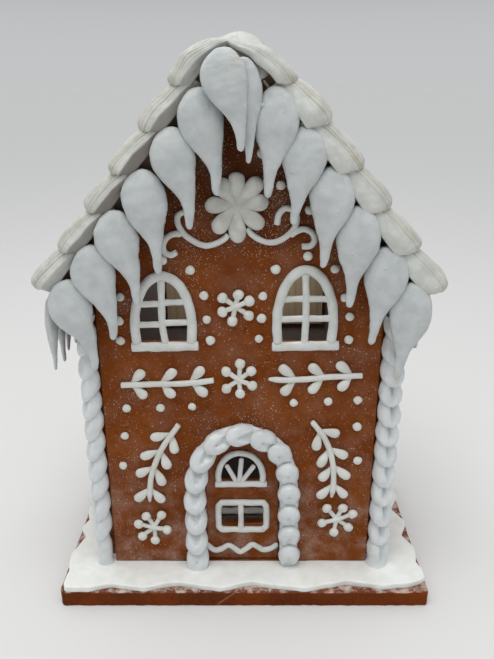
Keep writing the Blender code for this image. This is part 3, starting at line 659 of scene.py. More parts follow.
def window_ropes(parts, seed):
    """An arched rope on a square-cut sill, with an upright before two rows of cross bars."""
    return [rope(parts["arch"], WINDOW_ROPE, squash=0.80, seed=seed, sides=24, cut=SQUARE_ENDS),
            rope(parts["sill"], WINDOW_ROPE, squash=0.84, seed=seed + 1, sides=24, cut=SQUARE_ENDS),
            rope(parts["upright"], UPRIGHT_ROPE, sink=-0.35, seed=seed + 2, cut=SQUARE_ENDS)] + [
                rope(bar, CROSS_ROPE, sink=-0.15, squash=0.8, seed=seed + 3 + i, cut=SQUARE_ENDS)
                for i, bar in enumerate(parts["cross"])]


def windows():
    for seed, (name, parts) in enumerate(WINDOWS.items()):
        piece(name, window_ropes(parts, 100 + 20 * seed), "rope", on_front)


def door_ropes():
    """The fanlight with its three spokes, the lower window and the wavy rope."""
    sill = ((-13.6, 54.5), (14.4, 54.7))
    arch = ((-11.6, 55.4), (-11.9, 60), (-10.4, 66.5), (-6.3, 71.8), (0.0, 73.7), (6.3, 71.8), (10.6, 66.5),
            (12.2, 60), (11.9, 55.4))
    spokes = (((-2.2, 56.0), (-7.6, 66.8)), ((-0.6, 56.0), (0.7, 70.8)), ((0.6, 56.0), (7.6, 66.4)))
    shapes = [rope(arch, 1.65, seed=201), rope(sill, 1.75, seed=202, cut=SQUARE_ENDS)]
    shapes += [rope(spoke, 1.3, sink=-0.1, seed=203 + i) for i, spoke in enumerate(spokes)]
    piece("fanlight", shapes, "rope", on_door)

    low, high = 25.2, 42.8
    frame_line = rounded_box((-12.1, low), (14.3, high), (3.4,) * 4, 4)
    bar = ((0.2, low + 0.6), (0.3, 34), (0.1, high - 0.4))
    shapes = [rope(frame_line, 1.75, seed=211, cut=SQUARE_ENDS), rope(bar, 1.55, sink=-0.25, seed=212)]
    piece("door_window", shapes, "rope", on_door)

    wave = ((-19.6, 15.9), (-17.6, 13.4), (-14.4, 11.0), (-10.6, 12.0), (-7.0, 14.2), (-3.6, 12.4), (-0.3, 9.9),
            (3.2, 12.0), (6.5, 14.8), (9.6, 13.2), (12.7, 11.3), (17.0, 12.2), (21.0, 15.4))
    piece("door_wave", [rope(wave, 1.6, seed=221)], "rope", on_door)


def flower():
    middle = np.array((-1.5, 205.6))
    tips = ((-0.9, 221.4), (10.4, 218.4), (13.9, 207.7), (11.4, 195.4), (-0.5, 187.8), (-12.0, 193.0),
            (-16.2, 206.0), (-10.6, 218.0))
    shapes = []
    for i, tip in enumerate(tips):
        reach = tip - middle
        petal = teardrop(middle - 0.06 * reach, middle + 0.975 * reach, 7.9, seed=240 + i, start=0.34)
        petal["points"][:, 2] += 0.25 * (i % 2)
        shapes.append(petal)
    piece("flower", shapes, "flower", on_front)


# Each scroll's main line and its side curl
VINES = {
    "vine_left": (((-5.2, 192.0), (-7.4, 189.6), (-13.0, 186.9), (-17.4, 186.9), (-22.2, 189.2), (-26.4, 192.8),
                   (-28.7, 197.4), (-28.2, 201.2), (-24.6, 202.6), (-22.4, 200.2), (-22.9, 197.4)),
                  ((-26.8, 192.2), (-30.4, 192.3), (-34.0, 190.6), (-36.0, 187.2), (-35.4, 183.6), (-32.4, 182.2),
                   (-29.6, 183.6))),
    "vine_right": (((3.6, 195.0), (6.2, 191.8), (11.6, 188.6), (16.6, 188.3), (21.6, 190.6), (25.4, 194.6),
                    (26.9, 199.2), (25.2, 203.2), (21.4, 204.2), (18.4, 201.4), (17.6, 196.6)),
                   ((23.6, 191.2), (26.6, 193.4), (30.4, 194.6), (34.0, 192.8), (35.4, 189.4), (33.4, 186.6),
                    (29.4, 186.4))),
}


def vines():
    for seed, (name, (main, curl)) in enumerate(VINES.items()):
        shapes = [rope(main, 1.45, seed=260 + seed, cut=SQUARE_ENDS),
                  rope(curl, 1.5, sink=-0.3, seed=265 + seed, cut=(False, True))]
        piece(name, shapes, "rope", on_front)


# Each snowflake's middle, and the reach and direction in degrees of its balls
SNOWFLAKES = {
    "snowflake_top": ((-2.1, 156.4), ((7.7, 144), (6.3, 76), (7.4, 24), (7.9, -34), (7.6, -101), (6.8, -158))),
    "snowflake_middle": ((-0.3, 117.5), ((8.8, 87), (7.7, 38), (7.4, -27), (7.8, -87), (8.3, -143), (7.9, 146))),
    "snowflake_left": ((-48.2, 27.7), ((8.0, 116), (9.2, 59), (7.6, -13), (8.7, -86), (8.8, -137), (8.4, 166))),
    "snowflake_right": ((53.1, 33.0), ((9.2, 129), (7.8, 68), (9.2, 21), (8.5, -39), (8.7, -98), (8.5, -162))),
}


def snowflake(middle, arms, seed):
    """Three crossed ropes with a ball at each end, given each ball's reach and direction in degrees."""
    ends = [(middle[0] + reach * math.cos(math.radians(turn)), middle[1] + reach * math.sin(math.radians(turn)))
            for reach, turn in arms]
    ropes = [rope(((*ends[i], 0), (*middle, 0.6 * i), (*ends[i + 3], 0)), 1.25, sink=0.1, seed=seed + i, sides=14)
             for i in range(3)]
    return ropes + [ball(end, 2.65, squash=0.74, seed=seed + 10 + i) for i, end in enumerate(ends)]


def snowflakes():
    for seed, (name, (middle, arms)) in enumerate(SNOWFLAKES.items()):
        piece(name, snowflake(middle, arms, 300 + 20 * seed), "cream", on_front)


# Each stem's line, the lengths of the leaves on its two sides, which way they lean, and their places on it
BRANCHES = {
    "branch_left": (((-60.5, 114.3), (-44.0, 114.9), (-28.0, 115.3), (-13.2, 117.0)), (8.9, 8.4), 1,
                    (0.10, 0.42, 0.74), (1.5, 1.5)),
    "branch_right": (((62.0, 119.6), (45.0, 118.9), (30.0, 117.4), (14.4, 117.4)), (8.8, 8.8), 1,
                     (0.10, 0.40, 0.70), (1.5, 0.8)),
    "sprig_left": (((-49.6, 43.6), (-48.2, 58.0), (-45.4, 68.0), (-40.8, 78.4), (-32.0, 91.6)), (9.4, 8.8), -1,
                   (0.17, 0.43, 0.64, 0.86), (0.6, 1.5)),
    "sprig_right": (((49.8, 46.4), (50.2, 59.0), (48.8, 71.0), (44.4, 83.6), (37.4, 93.4)), (8.8, 9.4), -1,
                    (0.17, 0.40, 0.62, 0.86), (0.7, 1.2)),
}


def branch(stem, lengths, lean, shares, ends, seed):
    """A stem with pairs of drops that grow out from under it."""
    line = smooth(stem)
    total = line_length(line)
    first, last = ends[0] / 1.5, ends[1] / 1.5
    head = 2.3

    def taper(share):
        return np.minimum(1, np.minimum(first + 6 * share, last + 6 * (1 - share)))

    shapes = [rope(stem, 1.55, sink=-0.15, seed=seed, profile=taper, cut=(ends[0] > 1, ends[1] > 1))]
    for k, share in enumerate(shares):
        root, ahead = at_lengths(line, [total * share, total * share + 0.5])
        along = lean * (ahead - root) / np.linalg.norm(ahead - root)
        for j, (side, length) in enumerate(zip((1, -1), lengths)):
            across = side * np.array((-along[1], along[0]))
            direction = along * (0.95, 1.05)[(k + j) % 2] + across
            reach = (length + head) * (1 + 0.04 * ((k * 2 + j) % 3 - 1))
            end = root + direction / np.linalg.norm(direction) * reach
            shapes.append(teardrop(root, end, 5.3, seed=seed + 3 + 2 * k + j, start=0.26))
    return shapes


def branches():
    for seed, (name, parts) in enumerate(BRANCHES.items()):
        piece(name, branch(*parts, 400 + 20 * seed), "cream", on_front)


DOTS = ((-23.6, 174.6), (17.3, 175.0), (32.5, 181.6), (45.5, 175.2), (19.1, 214.8), (10.4, 228.8), (32.5, 203.3),
        (-36.5, 198.7), (-36.5, 179.6), (-49.6, 172.8), (-58.0, 161.3), (-59.3, 149.0), (-59.3, 138.5),
        (-17.3, 162.0), (-16.1, 149.6), (-14.6, 138.7), (11.4, 161.6), (10.7, 150.3), (9.5, 139.5),
        (51.0, 160.8), (53.9, 151.1), (54.1, 139.0), (-58.5, 100.9), (-41.0, 101.2), (-24.7, 101.8),
        (-60.6, 84.8), (-62.6, 66.8), (27.6, 104.1), (45.3, 104.9), (60.5, 105.6), (61.1, 90.4), (62.6, 69.9))
DOT_RADIUS = 2.25


def dots_on(places, seed):
    rng = np.random.default_rng(seed)
    return [ball(spot, DOT_RADIUS * rng.uniform(0.92, 1.1), squash=0.62, seed=seed + i)
            for i, spot in enumerate(places)]


def dots():
    piece("dots_front", dots_on(DOTS, 500), "cream", on_front)


# ---- beads of the garland and the columns


def bun(width, height, thick, notch, seed):
    """A plump bead in (across, ahead, out), its near end raised to lie over the bead before it.

    notch is the depth of the fold in its far end, as a share of its thickness.
    """
    polar = np.linspace(0.05, math.pi - 0.05, 34)[:, None]
    angle = circle(56)[None, :]
    x, y = np.sin(polar) * np.cos(angle), np.sin(polar) * np.sin(angle)
    dome = signed_power(np.cos(polar), 0.85)
    front = np.clip(2.2 * np.cos(polar), 0, 1)
    fold = np.clip((y + 0.2) / 0.6, 0, 1)
    pressed = notch * front * fold**0.7 * hump(x, 0.12 + 0.26 * fold)
    arms = 0.22 * notch * front * fold * hump(np.abs(x) - 0.55, 0.2)
    dimple = 0.14 * front * np.exp(-(x**2 + (y + 0.14) ** 2) / 0.012)
    rise = 0.45 + 0.55 * dome - pressed + arms - dimple
    out = thick * rise - 0.155 * height * y
    ring = np.stack([width / 2 * x * (1 - 0.12 * y), height / 2 * y, out], -1)
    return rumpled(skin(ring), 0.12, 5, seed)


def turned(shape, middle, degrees):
    """The shape turned in the wall's plane, then moved to its middle."""
    a = math.radians(degrees)
    turn = np.array(((math.cos(a), math.sin(a), 0), (-math.sin(a), math.cos(a), 0), (0, 0, 1)))
    return {**shape, "points": shape["points"] @ turn + (*middle, 0)}


# The garland's beads from the left foot over the door to the right one: place, direction of the chain
# there in degrees from upwards, and depth of the fold
GARLAND = (((-24.3, 21.6), 2, 0.42), ((-24.2, 34.9), 0, 0.46), ((-24.4, 47.9), -4, 0.46), ((-23.2, 61.2), -14, 0.42),
           ((-19.2, 73.4), -40, 0.40), ((-11.0, 83.0), -66, 0.36), ((0.8, 87.0), -92, 0.32),
           ((12.8, 83.4), -128, 0.22), ((21.2, 75.0), -152, 0.14), ((25.2, 63.0), -171, 0.12),
           ((26.2, 50.0), -178, 0.10), ((26.5, 36.2), -180, 0.10), ((26.8, 23.0), -180, 0.16))


def garland():
    """Beads round the door: folded ones up the left side and over the top, rounder ones down the right."""
    shapes = [turned(bun(12.3, 16.4, 8.4, notch, 610 + i), middle, lean)
              for i, (middle, lean, notch) in enumerate(GARLAND)]
    shapes.append(turned(bun(12.4, 19, 7.6, 0.1, 630), (-24.0, 9.0), 0))
    shapes.append(turned(bun(12.0, 17, 8.2, 0.2, 631), (27.1, 10.2), 180))
    backing = [(-24.1, 3.6)] + [middle for middle, _, _ in GARLAND] + [(27.1, 3.6)]
    shapes.append(rope(backing, 5.0, sink=0.3, squash=0.5, seed=650, cut=SQUARE_ENDS))
    for shape in shapes:
        shape["points"][:, 1] = np.maximum(shape["points"][:, 1], FLOOR - BOARD_TOP - 0.2)
    piece("door_arch", shapes, "bead", on_front)


# Up a bead of the columns: share of its height, radius
COLUMN_BEAD = ((0.0, 3.4), (0.02, 4.7), (0.07, 5.7), (0.15, 6.25), (0.28, 6.45), (0.42, 6.2), (0.56, 5.6),
               (0.68, 4.9), (0.80, 4.2), (0.9, 3.8), (1.0, 3.0))
# Each front column's lowest point of every bead, above the board's top
LEFT_BEADS = (3.3, 18.3, 31.7, 44.7, 56.8, 69.5, 81.9, 94.3, 104.7, 117.1, 129.5, 141.6, 152.5)
RIGHT_BEADS = (3.3, 17.0, 29.0, 42.8, 54.3, 67.4, 79.5, 90.8, 103.0, 113.8, 126.0, 138.4, 152.5)
# Up the lowest bead of a column, which spreads on the snow
COLUMN_FOOT = ((0.0, 6.0), (0.03, 5.6), (0.10, 5.0), (0.25, 4.9), (0.45, 5.3), (0.62, 5.4), (0.78, 4.9), (0.9, 4.3),
               (1.0, 3.4))


def column(name, levels, facing, seed, size=0.97, moved=0.0, lean=2.8, depth=3.2, foot=1.18):
    """A stack of folded beads, each over the top of the one below, their folds facing one way.

    A facing of 0 degrees looks to the front, 90 to the right. lean is how much higher a bead's rim lies away
    from its fold, depth how deep the fold is, and foot how much wider than the rest the lowest bead is.
    """
    low, high = box_mm(name)
    centre = (low + high) / 2 + (moved, 0, 0)
    off = circle(64)[None, :] - math.pi
    shapes = []
    for i, (start, end) in enumerate(zip(levels, levels[1:] + (levels[-1] + 12,))):
        t, radius = (values[:, None] for values in smooth(COLUMN_BEAD if i else COLUMN_FOOT, 4).T)
        rise = lean * (1 - np.cos(off)) if i else 0 * off
        arms = 0.8 * hump(np.abs(off) - 0.85, 0.45) * np.sin(math.pi * np.clip(t, 0, 1))
        fold = depth * hump(off, 0.12 + 0.32 * t) * np.clip((t - 0.12) / 0.3, 0, 1)
        reach = size * (1 if i else foot) * (radius + (arms - fold) * (1 if i else 0.8))
        a = math.radians(facing + 9 * math.sin(2.7 * i + seed)) + off
        z = np.clip(BOARD_TOP + start + rise + (end - start) * 1.27 * t, low[2], high[2] - 0.5)
        ring = np.stack([centre[0] + reach * np.sin(a), centre[1] - reach * np.cos(a), z], -1)
        shapes.append(rumpled(skin(ring), 0.13, 5, seed + i))
    piece(name, shapes, "bead")


def columns():
    column("column_front_left", LEFT_BEADS, -60, 700, 0.80, 0.7, 3.5, 2.4, 0.95)
    column("column_front_right", RIGHT_BEADS, 16, 750, 0.93)
    column("column_back_left", RIGHT_BEADS, 200, 800)
    column("column_back_right", LEFT_BEADS, 160, 850)


# ---- icicles

# Down an icicle: share of its length, half width as a share of the head's, share of the tail's sideways shift
ICICLE = ((0.0, 0.0, 0.0), (0.015, 0.28, 0.0), (0.07, 0.62, 0.0), (0.14, 0.83, 0.0), (0.22, 0.955, 0.0),
          (0.31, 1.0, 0.02), (0.40, 0.935, 0.06), (0.48, 0.80, 0.13), (0.56, 0.63, 0.27), (0.64, 0.46, 0.44),
          (0.72, 0.33, 0.61), (0.80, 0.25, 0.76), (0.88, 0.205, 0.88), (0.95, 0.17, 0.96), (0.985, 0.12, 0.99),
          (1.0, 0.0, 1.0))
ICICLE_ROUND = 0.9  # exponent of its cross-section: below 1 is plumper than an ellipse


def icicle_shape(top, radius, length, shift, thick, seed):
    """A hanging drop in (across, up, out), with its head's middle on out = 0 and a few pimples on it."""
    t, wide, lean = smooth(ICICLE, 6).T
    if shift > 0:
        lean = 1 - (1 - lean) ** 2
    for _ in range(6):
        wide[1:-1] = (wide[:-2] + 2 * wide[1:-1] + wide[2:]) / 4
    angle = circle(48)[None, :]
    wide, lean, t = np.maximum(wide, 0.01)[:, None], lean[:, None], t[:, None]
    across = top[0] + shift * lean + radius * wide * signed_power(np.cos(angle), ICICLE_ROUND)
    out = thick / 2 * np.clip(wide, 0, 1) ** 0.7 * signed_power(np.sin(angle), ICICLE_ROUND)
    up = top[1] - length * t + 0 * angle
    body = rumpled(skin(np.stack([across, up, out], -1)), 0.22, 13, seed)
    shapes = [rumpled(rumpled(body, 0.09, 5, seed + 3), 0.05, 2.4, seed + 7)]
    rng = np.random.default_rng(seed)
    for _ in range(3):
        x, level = rng.uniform(-0.55, 0.55), rng.uniform(0.15, 0.5)
        spot = (top[0] + x * radius, top[1] - level * length, 0.93 * thick / 2 * (1 - x**2) ** 0.5)
        shapes.append(ball(spot, rng.uniform(0.5, 0.9), squash=0.35, sink=0.42, seed=seed + 3, rings=7, sides=10))
    return shapes


def swung(shapes, axis, degrees):
    """The shapes turned about the upright line through across = axis."""
    c, s = math.cos(math.radians(degrees)), math.sin(math.radians(degrees))
    turn = np.array(((c, 0, -s), (0, 1, 0), (s, 0, c)))
    return placed(shapes, lambda points: (points - (axis, 0, 0)) @ turn + (axis, 0, 0))


# How far each icicle's tail hangs to the right of its head, from the peak down
TAIL_SHIFTS = {"left": (6.9, 6.6, 4.8, 7.4, 7.4, 9.2), "right": (-3.4, -3.8, -2.8, -2.6, -4.4, -3.8)}
ICICLE_HEAD = 10.1  # half its width
ICICLE_THICK, ICICLE_TURN = 8.2, 14  # the turn in degrees, from facing straight ahead
# Where the photo has a head further right, or a head or a tail further up or down, than the CAD
MOVED_RIGHT = {"icicle_peak_front": -1.2, "icicle_peak_back": 1.0}
RAISED, LOWERED = {"icicle_peak_back": 2.4}, {"icicle_right_1": 3.0}


def icicle_at(node, shift, seed, turn, thick=ICICLE_THICK):
    """An icicle in its CAD node's box."""
    low, high = box_mm(node)
    radius = ICICLE_HEAD
    if "peak" in node:
        radius = (high[0] - low[0] - max(abs(shift) - 8, 0)) / 2
    head = (low[0] if shift > 0 else high[0]) - HOUSE_X + math.copysign(radius * 0.98, shift)
    head += MOVED_RIGHT.get(node, 0)
    above, below = RAISED.get(node, 0), LOWERED.get(node, 0)
    top = (head, high[2] - BOARD_TOP + above)
    shapes = icicle_shape(top, radius, high[2] - low[2] + above + below, shift, thick, seed)
    middle = (low[1] + high[1]) / 2
    return placed(swung(shapes, head, turn), lambda p: on_front(p) + (0, middle - FRONT, 0))


def icicles():
    for side, sign in (("left", -1), ("right", 1)):
        for i, shift in enumerate(TAIL_SHIFTS[side]):
            name = f"icicle_{side}_{i + 1}"
            shapes = icicle_at(name, shift, 800 + 10 * i + 100 * (sign > 0), -sign * ICICLE_TURN)
            piece(name, shapes, "icicle")
    for name, shift, thick in (("icicle_peak_front", 7.2, 7.0), ("icicle_peak_back", 2.0, 5.0)):
        piece(name, icicle_at(name, shift, 980 + round(shift), 0, thick), "icicle")


def back_icicles():
    """The same row along the back edge of the roof."""
    apart, beyond_roof, highest = 13.2, 4.3, PEAK - BOARD_TOP + 3.3 / COS - 2
    shapes = []
    for i in range(-6, 7):
        across, side = apart * i, (i > 0) - (i < 0)
        top = (across, highest - abs(across) * TAN * 0.985)
        drop = icicle_shape(top, 9.8, 46 + 2 * (i % 3), -5.0 * side, 7.0, 1000 + i)
        shapes += swung(drop, across, -12 * side)
    piece("icicles_back", shapes, "icicle", lambda points: on_back(points) + (0, ROOF_BACK + beyond_roof - BACK, 0))


def eave_icicles():
    """A row under each side eave: on the left as in the CAD, on the right shorter and nearer the wall."""
    for name, place, wall, sign, reach, nearer in (("eave_icicles_left", on_left, LEFT, -1, 1, 0.3),
                                                   ("eave_icicles_right", on_right, RIGHT, 1, 0.75, 4.0)):
        low, high = box_mm(name)
        out = abs((low[0] + high[0]) / 2 - wall) - nearer
        count, inset = 7, 9.4
        shapes = []
        for i in range(count):
            y = low[1] + inset + (high[1] - low[1] - 2 * inset) * i / (count - 1)
            across = (y - DEPTH_MIDDLE) * sign
            length = (high[2] - low[2]) * (0.96 if i % 2 else 0.88) * reach
            seed = 1100 + 20 * (sign > 0) + i
            drop = icicle_shape((across, high[2] - BOARD_TOP), 9.0, length, 3.0 * (-1) ** i, 6.0, seed)
            shapes += swung(drop, across, 8)
        piece(name, shapes, "icicle", lambda points, out=out, place=place: place(points + (0, 0, out)))


# ---- leaves along the roof's edges

LEAF_HALF, LEAF_OUT, LEAF_SEAT = 8.2, 7.4, 0.3
# Down a leaf: share of its length, height of its crown over the roof board, share of its width
LEAF = ((0.0, 9.4, 0.50), (0.10, 11.4, 0.62), (0.28, 13.6, 0.82), (0.50, 15.3, 0.98), (0.70, 16.2, 1.05),
        (0.84, 16.3, 1.04), (0.93, 15.9, 1.0), (1.0, 15.2, 0.96))
# The same of the two leaves that meet on the ridge, the left one's end over the right one's
FIRST_LEFT = ((0.0, 2.6, 0.42), (0.03, 4.2, 0.52), (0.13, 8.2, 0.66), (0.26, 11.7, 0.80), (0.42, 14.7, 0.95),
              (0.64, 16.4, 1.04), (0.81, 16.2, 1.04), (0.92, 15.6, 1.0), (1.0, 15.0, 0.96))
FIRST_RIGHT = ((0.0, 0.4, 0.6), (0.06, 1.0, 0.68), (0.17, 3.4, 0.78), (0.265, 5.9, 0.88), (0.345, 7.8, 0.95),
               (0.51, 9.8, 1.03), (0.68, 11.1, 1.05), (0.85, 11.7, 1.02), (1.0, 11.3, 0.96))

# Round a leaf from its inner foot over the crest to its rim at the front: place across as a share of its half
# width, and height as a share of the crown's over the foot or, past the crest, over the rim. A left leaf curls
# under in front, a right one only at its rim.
INNER_SIDE = ((1.0, 0.0), (1.03, 0.28), (0.93, 0.60), (0.62, 0.86), (0.22, 0.975), (-0.15, 1.0))
OVER_LEFT = ((-0.50, 0.94), (-0.78, 0.79), (-0.96, 0.58), (-1.0, 0.44), (-0.90, 0.28), (-0.74, 0.12), (-0.64, 0.0))
OVER_RIGHT = ((-0.50, 0.94), (-0.80, 0.80), (-0.97, 0.58), (-1.03, 0.34), (-0.99, 0.14), (-0.90, 0.0))
# Where the grooves lie round a leaf, as a share of the way from the inner foot to the rim
GROOVES = (0.34, 0.41, 0.475, 0.53, 0.58, 0.63, 0.68, 0.73)


def leaf(start, end, edge, inward, seed, form, over, rim_share, drop=0.0, hollow=1.0, shade=0.0):
    """A tongue of dough with pressed grooves, hollow beneath where it overhangs the roof board's edge.

    Points are (down, out, depth); inward is +1 where the board runs towards +y from this edge. The rim at
    the front lies at rim_share of the crown's height, less drop. hollow is how far the space behind it reaches
    up to the crown, and shade is how much painted shade darkens a flank that curls under.
    """
    rng = np.random.default_rng(seed)
    round_from = 1 - 5.0 / (end - start)
    share = np.append(np.linspace(0, round_from, 46), round_from
                      + (1 - round_from) * np.sin(np.linspace(0.1, math.pi / 2, 14)))
    rows = smooth(form, 9)
    # each ring's share of the length, crown, width and rim
    share, height, width = (values[:, None] for values in (
        share, np.interp(share, rows[:, 0], rows[:, 1]), np.interp(share, rows[:, 0], rows[:, 2])))
    height = height * rng.uniform(0.97, 1.05)
    half = LEAF_HALF * width * rng.uniform(0.97, 1.04)
    rim = height * rim_share - drop * (1 - 0.75 * share)
    # the section, evenly spaced by length
    section = smooth(INNER_SIDE + over, 12)
    scaled = section * (LEAF_HALF, 15)
    section = at_lengths(np.column_stack([scaled, section]), np.linspace(0, line_length(scaled), 130))[:, 2:]
    turn = np.linspace(0, 1, len(section))[None, :]
    across, rise = section.T[:, None, :]
    past = turn > turn[0, np.argmax(rise)]
    # pressed grooves, each with a raised flute beside it, fading towards the root
    shift = rng.uniform(-0.015, 0.015)
    groove, flute = 0, 0
    for k, place in enumerate(GROOVES):
        centre = place + shift + 0.012 * np.sin(3 * share + seed + k)
        groove = groove + rng.uniform(0.45, 1.0) * hump(turn - centre, 0.011)
        flute = flute + hump(turn - centre - 0.028, 0.016)
    fade = np.clip(share / 0.22, 0.25, 1) * (1 - 0.6 * past * (rise < 0.3))
    out = np.where(past, rim + (height - rim) * rise, LEAF_SEAT + (height - LEAF_SEAT) * rise)
    relief = (flute - groove) * fade
    flank = past * np.clip(1 - rise, 0, 1)
    out = out + relief * np.clip(rise, 0.25, 1)
    y = -LEAF_OUT + LEAF_HALF + half * across - 0.6 * relief * flank
    down = start + (end - start) * share - 3.2 * share**4 * flank**1.4 + 0 * turn
    # the hollow behind the rim, and the foot on the roof board
    rim_y, rim_out = y[:, -1:], out[:, -1:]
    ceiling = rim_out + 0.4 + hollow * np.maximum(height - 4.8 - rim_out, 0)
    foot_y = np.minimum(1.2, y[:, :1] - 0.4)
    lift = ceiling - rim_out
    steps_y = [rim_y + behind for behind in (0.5, 1.0, 1.5, 2.0, 2.8)] + [foot_y - 1.0, foot_y - 0.2, foot_y]
    steps_out = [rim_out - 0.5, rim_out - 0.4, rim_out + 0.1, rim_out + 0.25 * lift, rim_out + 0.7 * lift,
                 ceiling, 0.6 * ceiling, LEAF_SEAT + 0 * rim_out]
    inner_y = np.minimum(np.hstack(steps_y), np.maximum(foot_y, rim_y + 3.0))
    ys, outs = np.hstack([y, inner_y]), np.hstack([out, np.hstack(steps_out)])
    downs = np.hstack([down, np.repeat(down[:, -1:], inner_y.shape[1], axis=1)])
    # the round end draws in towards its middle
    late = np.clip((share - round_from) / (1 - round_from), 0, 1)
    size = np.maximum(1 - late**2.4, 0.0004) ** 0.5
    middle_out = rim + 0.56 * (height - rim)
    middle_y = -LEAF_OUT + LEAF_HALF - 0.1 * half
    ys, outs = middle_y + (ys - middle_y) * size, middle_out + (outs - middle_out) * size
    downs = downs + 0.9 * late * np.hstack([flute - groove, 0 * inner_y]) * size
    # what the material tells apart: painted shade in the hollow and on the curled flank, grooves, worn end
    curl = shade * np.clip((0.47 - rise) / 0.10, 0, 1) * past
    under = np.hstack([0.5 * curl + 0 * y, np.broadcast_to((0.5, 0.6, 0.7, 0.8, 0.9, 1, 1, 1), inner_y.shape)])
    grooves = np.hstack([np.clip(groove, 0, 1) * fade, 0 * inner_y])
    worn = np.hstack([np.clip(share * 4 - 2.9, 0, 1) + 0 * y, 0 * inner_y])
    rings = np.stack([downs, outs, edge + inward * ys], -1)
    shape = skin(rings, {"groove": grooves, "under": under, "worn": worn})
    return rumpled(rumpled(shape, 0.22, 9, seed), 0.05, 2.6, seed + 5)


# Where the leaves end down the slope, on the left and on the right, and how much painted shade each left flank gets
LEAF_ENDS = {-1: (0.5, 27.3, 50.6, 73.2, 93.8, 116.7, 138.4), 1: (0.5, 24.6, 46.2, 70.6, 92.2, 116.2, 139.6)}
LEFT_SHADES = (0.45, 0.7, 1.0, 0.95, 0.7, 0.4)
LAP = 6.5  # of each leaf's root under the leaf above


def leaf_chain(side, edge, inward, seed):
    """Six leaves down one edge of the roof, the topmost lying over the ridge."""
    left = side < 0
    over, rim = (OVER_LEFT, 0.36) if left else (OVER_RIGHT, 0.24)
    ends = LEAF_ENDS[side]
    if left:
        first = leaf(ends[0] - 2.4, ends[1] + 2.0, edge, inward, seed, FIRST_LEFT, over, 0.42, 0, 0.35,
                     LEFT_SHADES[0])
    else:
        first = leaf(ends[0] - 5.4, ends[1] + 2.0, edge, inward, seed, FIRST_RIGHT, over, 0.46, 3.0, 0.35)
    shapes = [first]
    for i in range(1, 6):
        start = ends[i] - (4.0 if (side, i) == (1, 1) else LAP)
        shade = LEFT_SHADES[i] if left else 0.0
        shapes.append(leaf(start, ends[i + 1] + 2.0, edge, inward, seed + 10 * i, LEAF, over, rim, shade=shade))
    return shapes


def roof_leaves():
    for name, side in (("left", -1), ("right", 1)):
        for i, shape in enumerate(leaf_chain(side, ROOF_FRONT, 1, 1250 + 50 * side)):
            piece(f"leaf_{name}_{i + 1}", [shape], "leaf", on_slope(side))


RIDGE_PAST_ROOF, RIDGE_HALF, RIDGE_RISE = 3.2, 13.4, 14.2
RIDGE_LOBE, RIDGE_END = 29.0, 6.0  # length of a swelling, and of the rounding at each end


def ridge_and_back():
    """The roll of dough along the ridge, seamed down its middle, and the leaf chain of the back edge."""
    start, end, half = ROOF_FRONT - RIDGE_PAST_ROOF, ROOF_BACK + RIDGE_PAST_ROOF, RIDGE_HALF
    y = np.linspace(start, end, 120)[:, None]
    within = (y - start) / RIDGE_LOBE % 1.0  # the place in its lobe
    swell = 0.88 + 0.12 * np.sin(math.pi * within**1.5) ** 0.6
    near_end = np.clip(np.minimum(y - start, end - y) / RIDGE_END, 0, 1)
    round_end = np.sqrt(np.maximum(1 - (1 - near_end) ** 2, 0.01))
    turn = np.linspace(0, 1, 75)[None, :]
    angle = turn * math.pi
    across = -half * swell * np.cos(angle) * (0.7 + 0.3 * round_end)
    middle_seam, left_seam, right_seam = (hump(turn - place, 0.012) for place in (0.49, 0.33, 0.66))
    seam = 0.6 * middle_seam + 0.5 * (left_seam + right_seam) * within
    seat = PEAK - half * TAN * 0.62
    out = seat + (RIDGE_RISE * swell * round_end + 3.4) * np.sin(angle) ** 0.62 - 0.45 * seam * np.sin(angle)
    under_x = np.linspace(0.9, -0.9, 8)[None, :] * half * 0.8 + 0 * y
    under_out = PEAK - np.abs(under_x) * TAN
    rings = np.stack([np.hstack([across, under_x]) + HOUSE_X, np.hstack([y + 0 * across, y + 0 * under_x]),
                      np.hstack([out, under_out])], -1)
    unmarked = 0 * rings[..., 0]
    marks = {"groove": np.hstack([seam * 0.6 + 0 * y, 0 * under_x]), "under": unmarked, "worn": unmarked}
    shapes = [rumpled(skin(rings, marks), 0.3, 8, 1400)]
    for side in (-1, 1):
        shapes += placed(leaf_chain(side, ROOF_BACK, -1, 1450 + 50 * side), on_slope(side))
    piece("ridge_and_back_chain", shapes, "leaf")


def roof_icing():
    """A thin sheet of icing over each roof board, its lower edge wavy."""
    for name, side in (("roof_icing_left", -1), ("roof_icing_right", 1)):
        front, back, top = ROOF_FRONT + 1.2, ROOF_BACK - 1.2, 2.0
        foot = EAVE_X / COS + (2.2 if side < 0 else 0)
        eave = [(foot + 1.4 * math.sin(k * 0.62) + 0.8 * math.sin(k * 1.7), y)
                for k, y in enumerate(np.linspace(front, back, 60))]
        line = evenly(eave + [(top, back), (top, front)] + eave[:1], 300)
        shape = slab(line, -0.2, 1.5, 0.6, uneven=0.25, seed=1500 + side)
        down, depth, out = shape["points"].T
        shape["points"] = np.stack([down, out, depth], -1)
        piece(name, [shape], "snow", on_slope(side))


# ---- sides and back


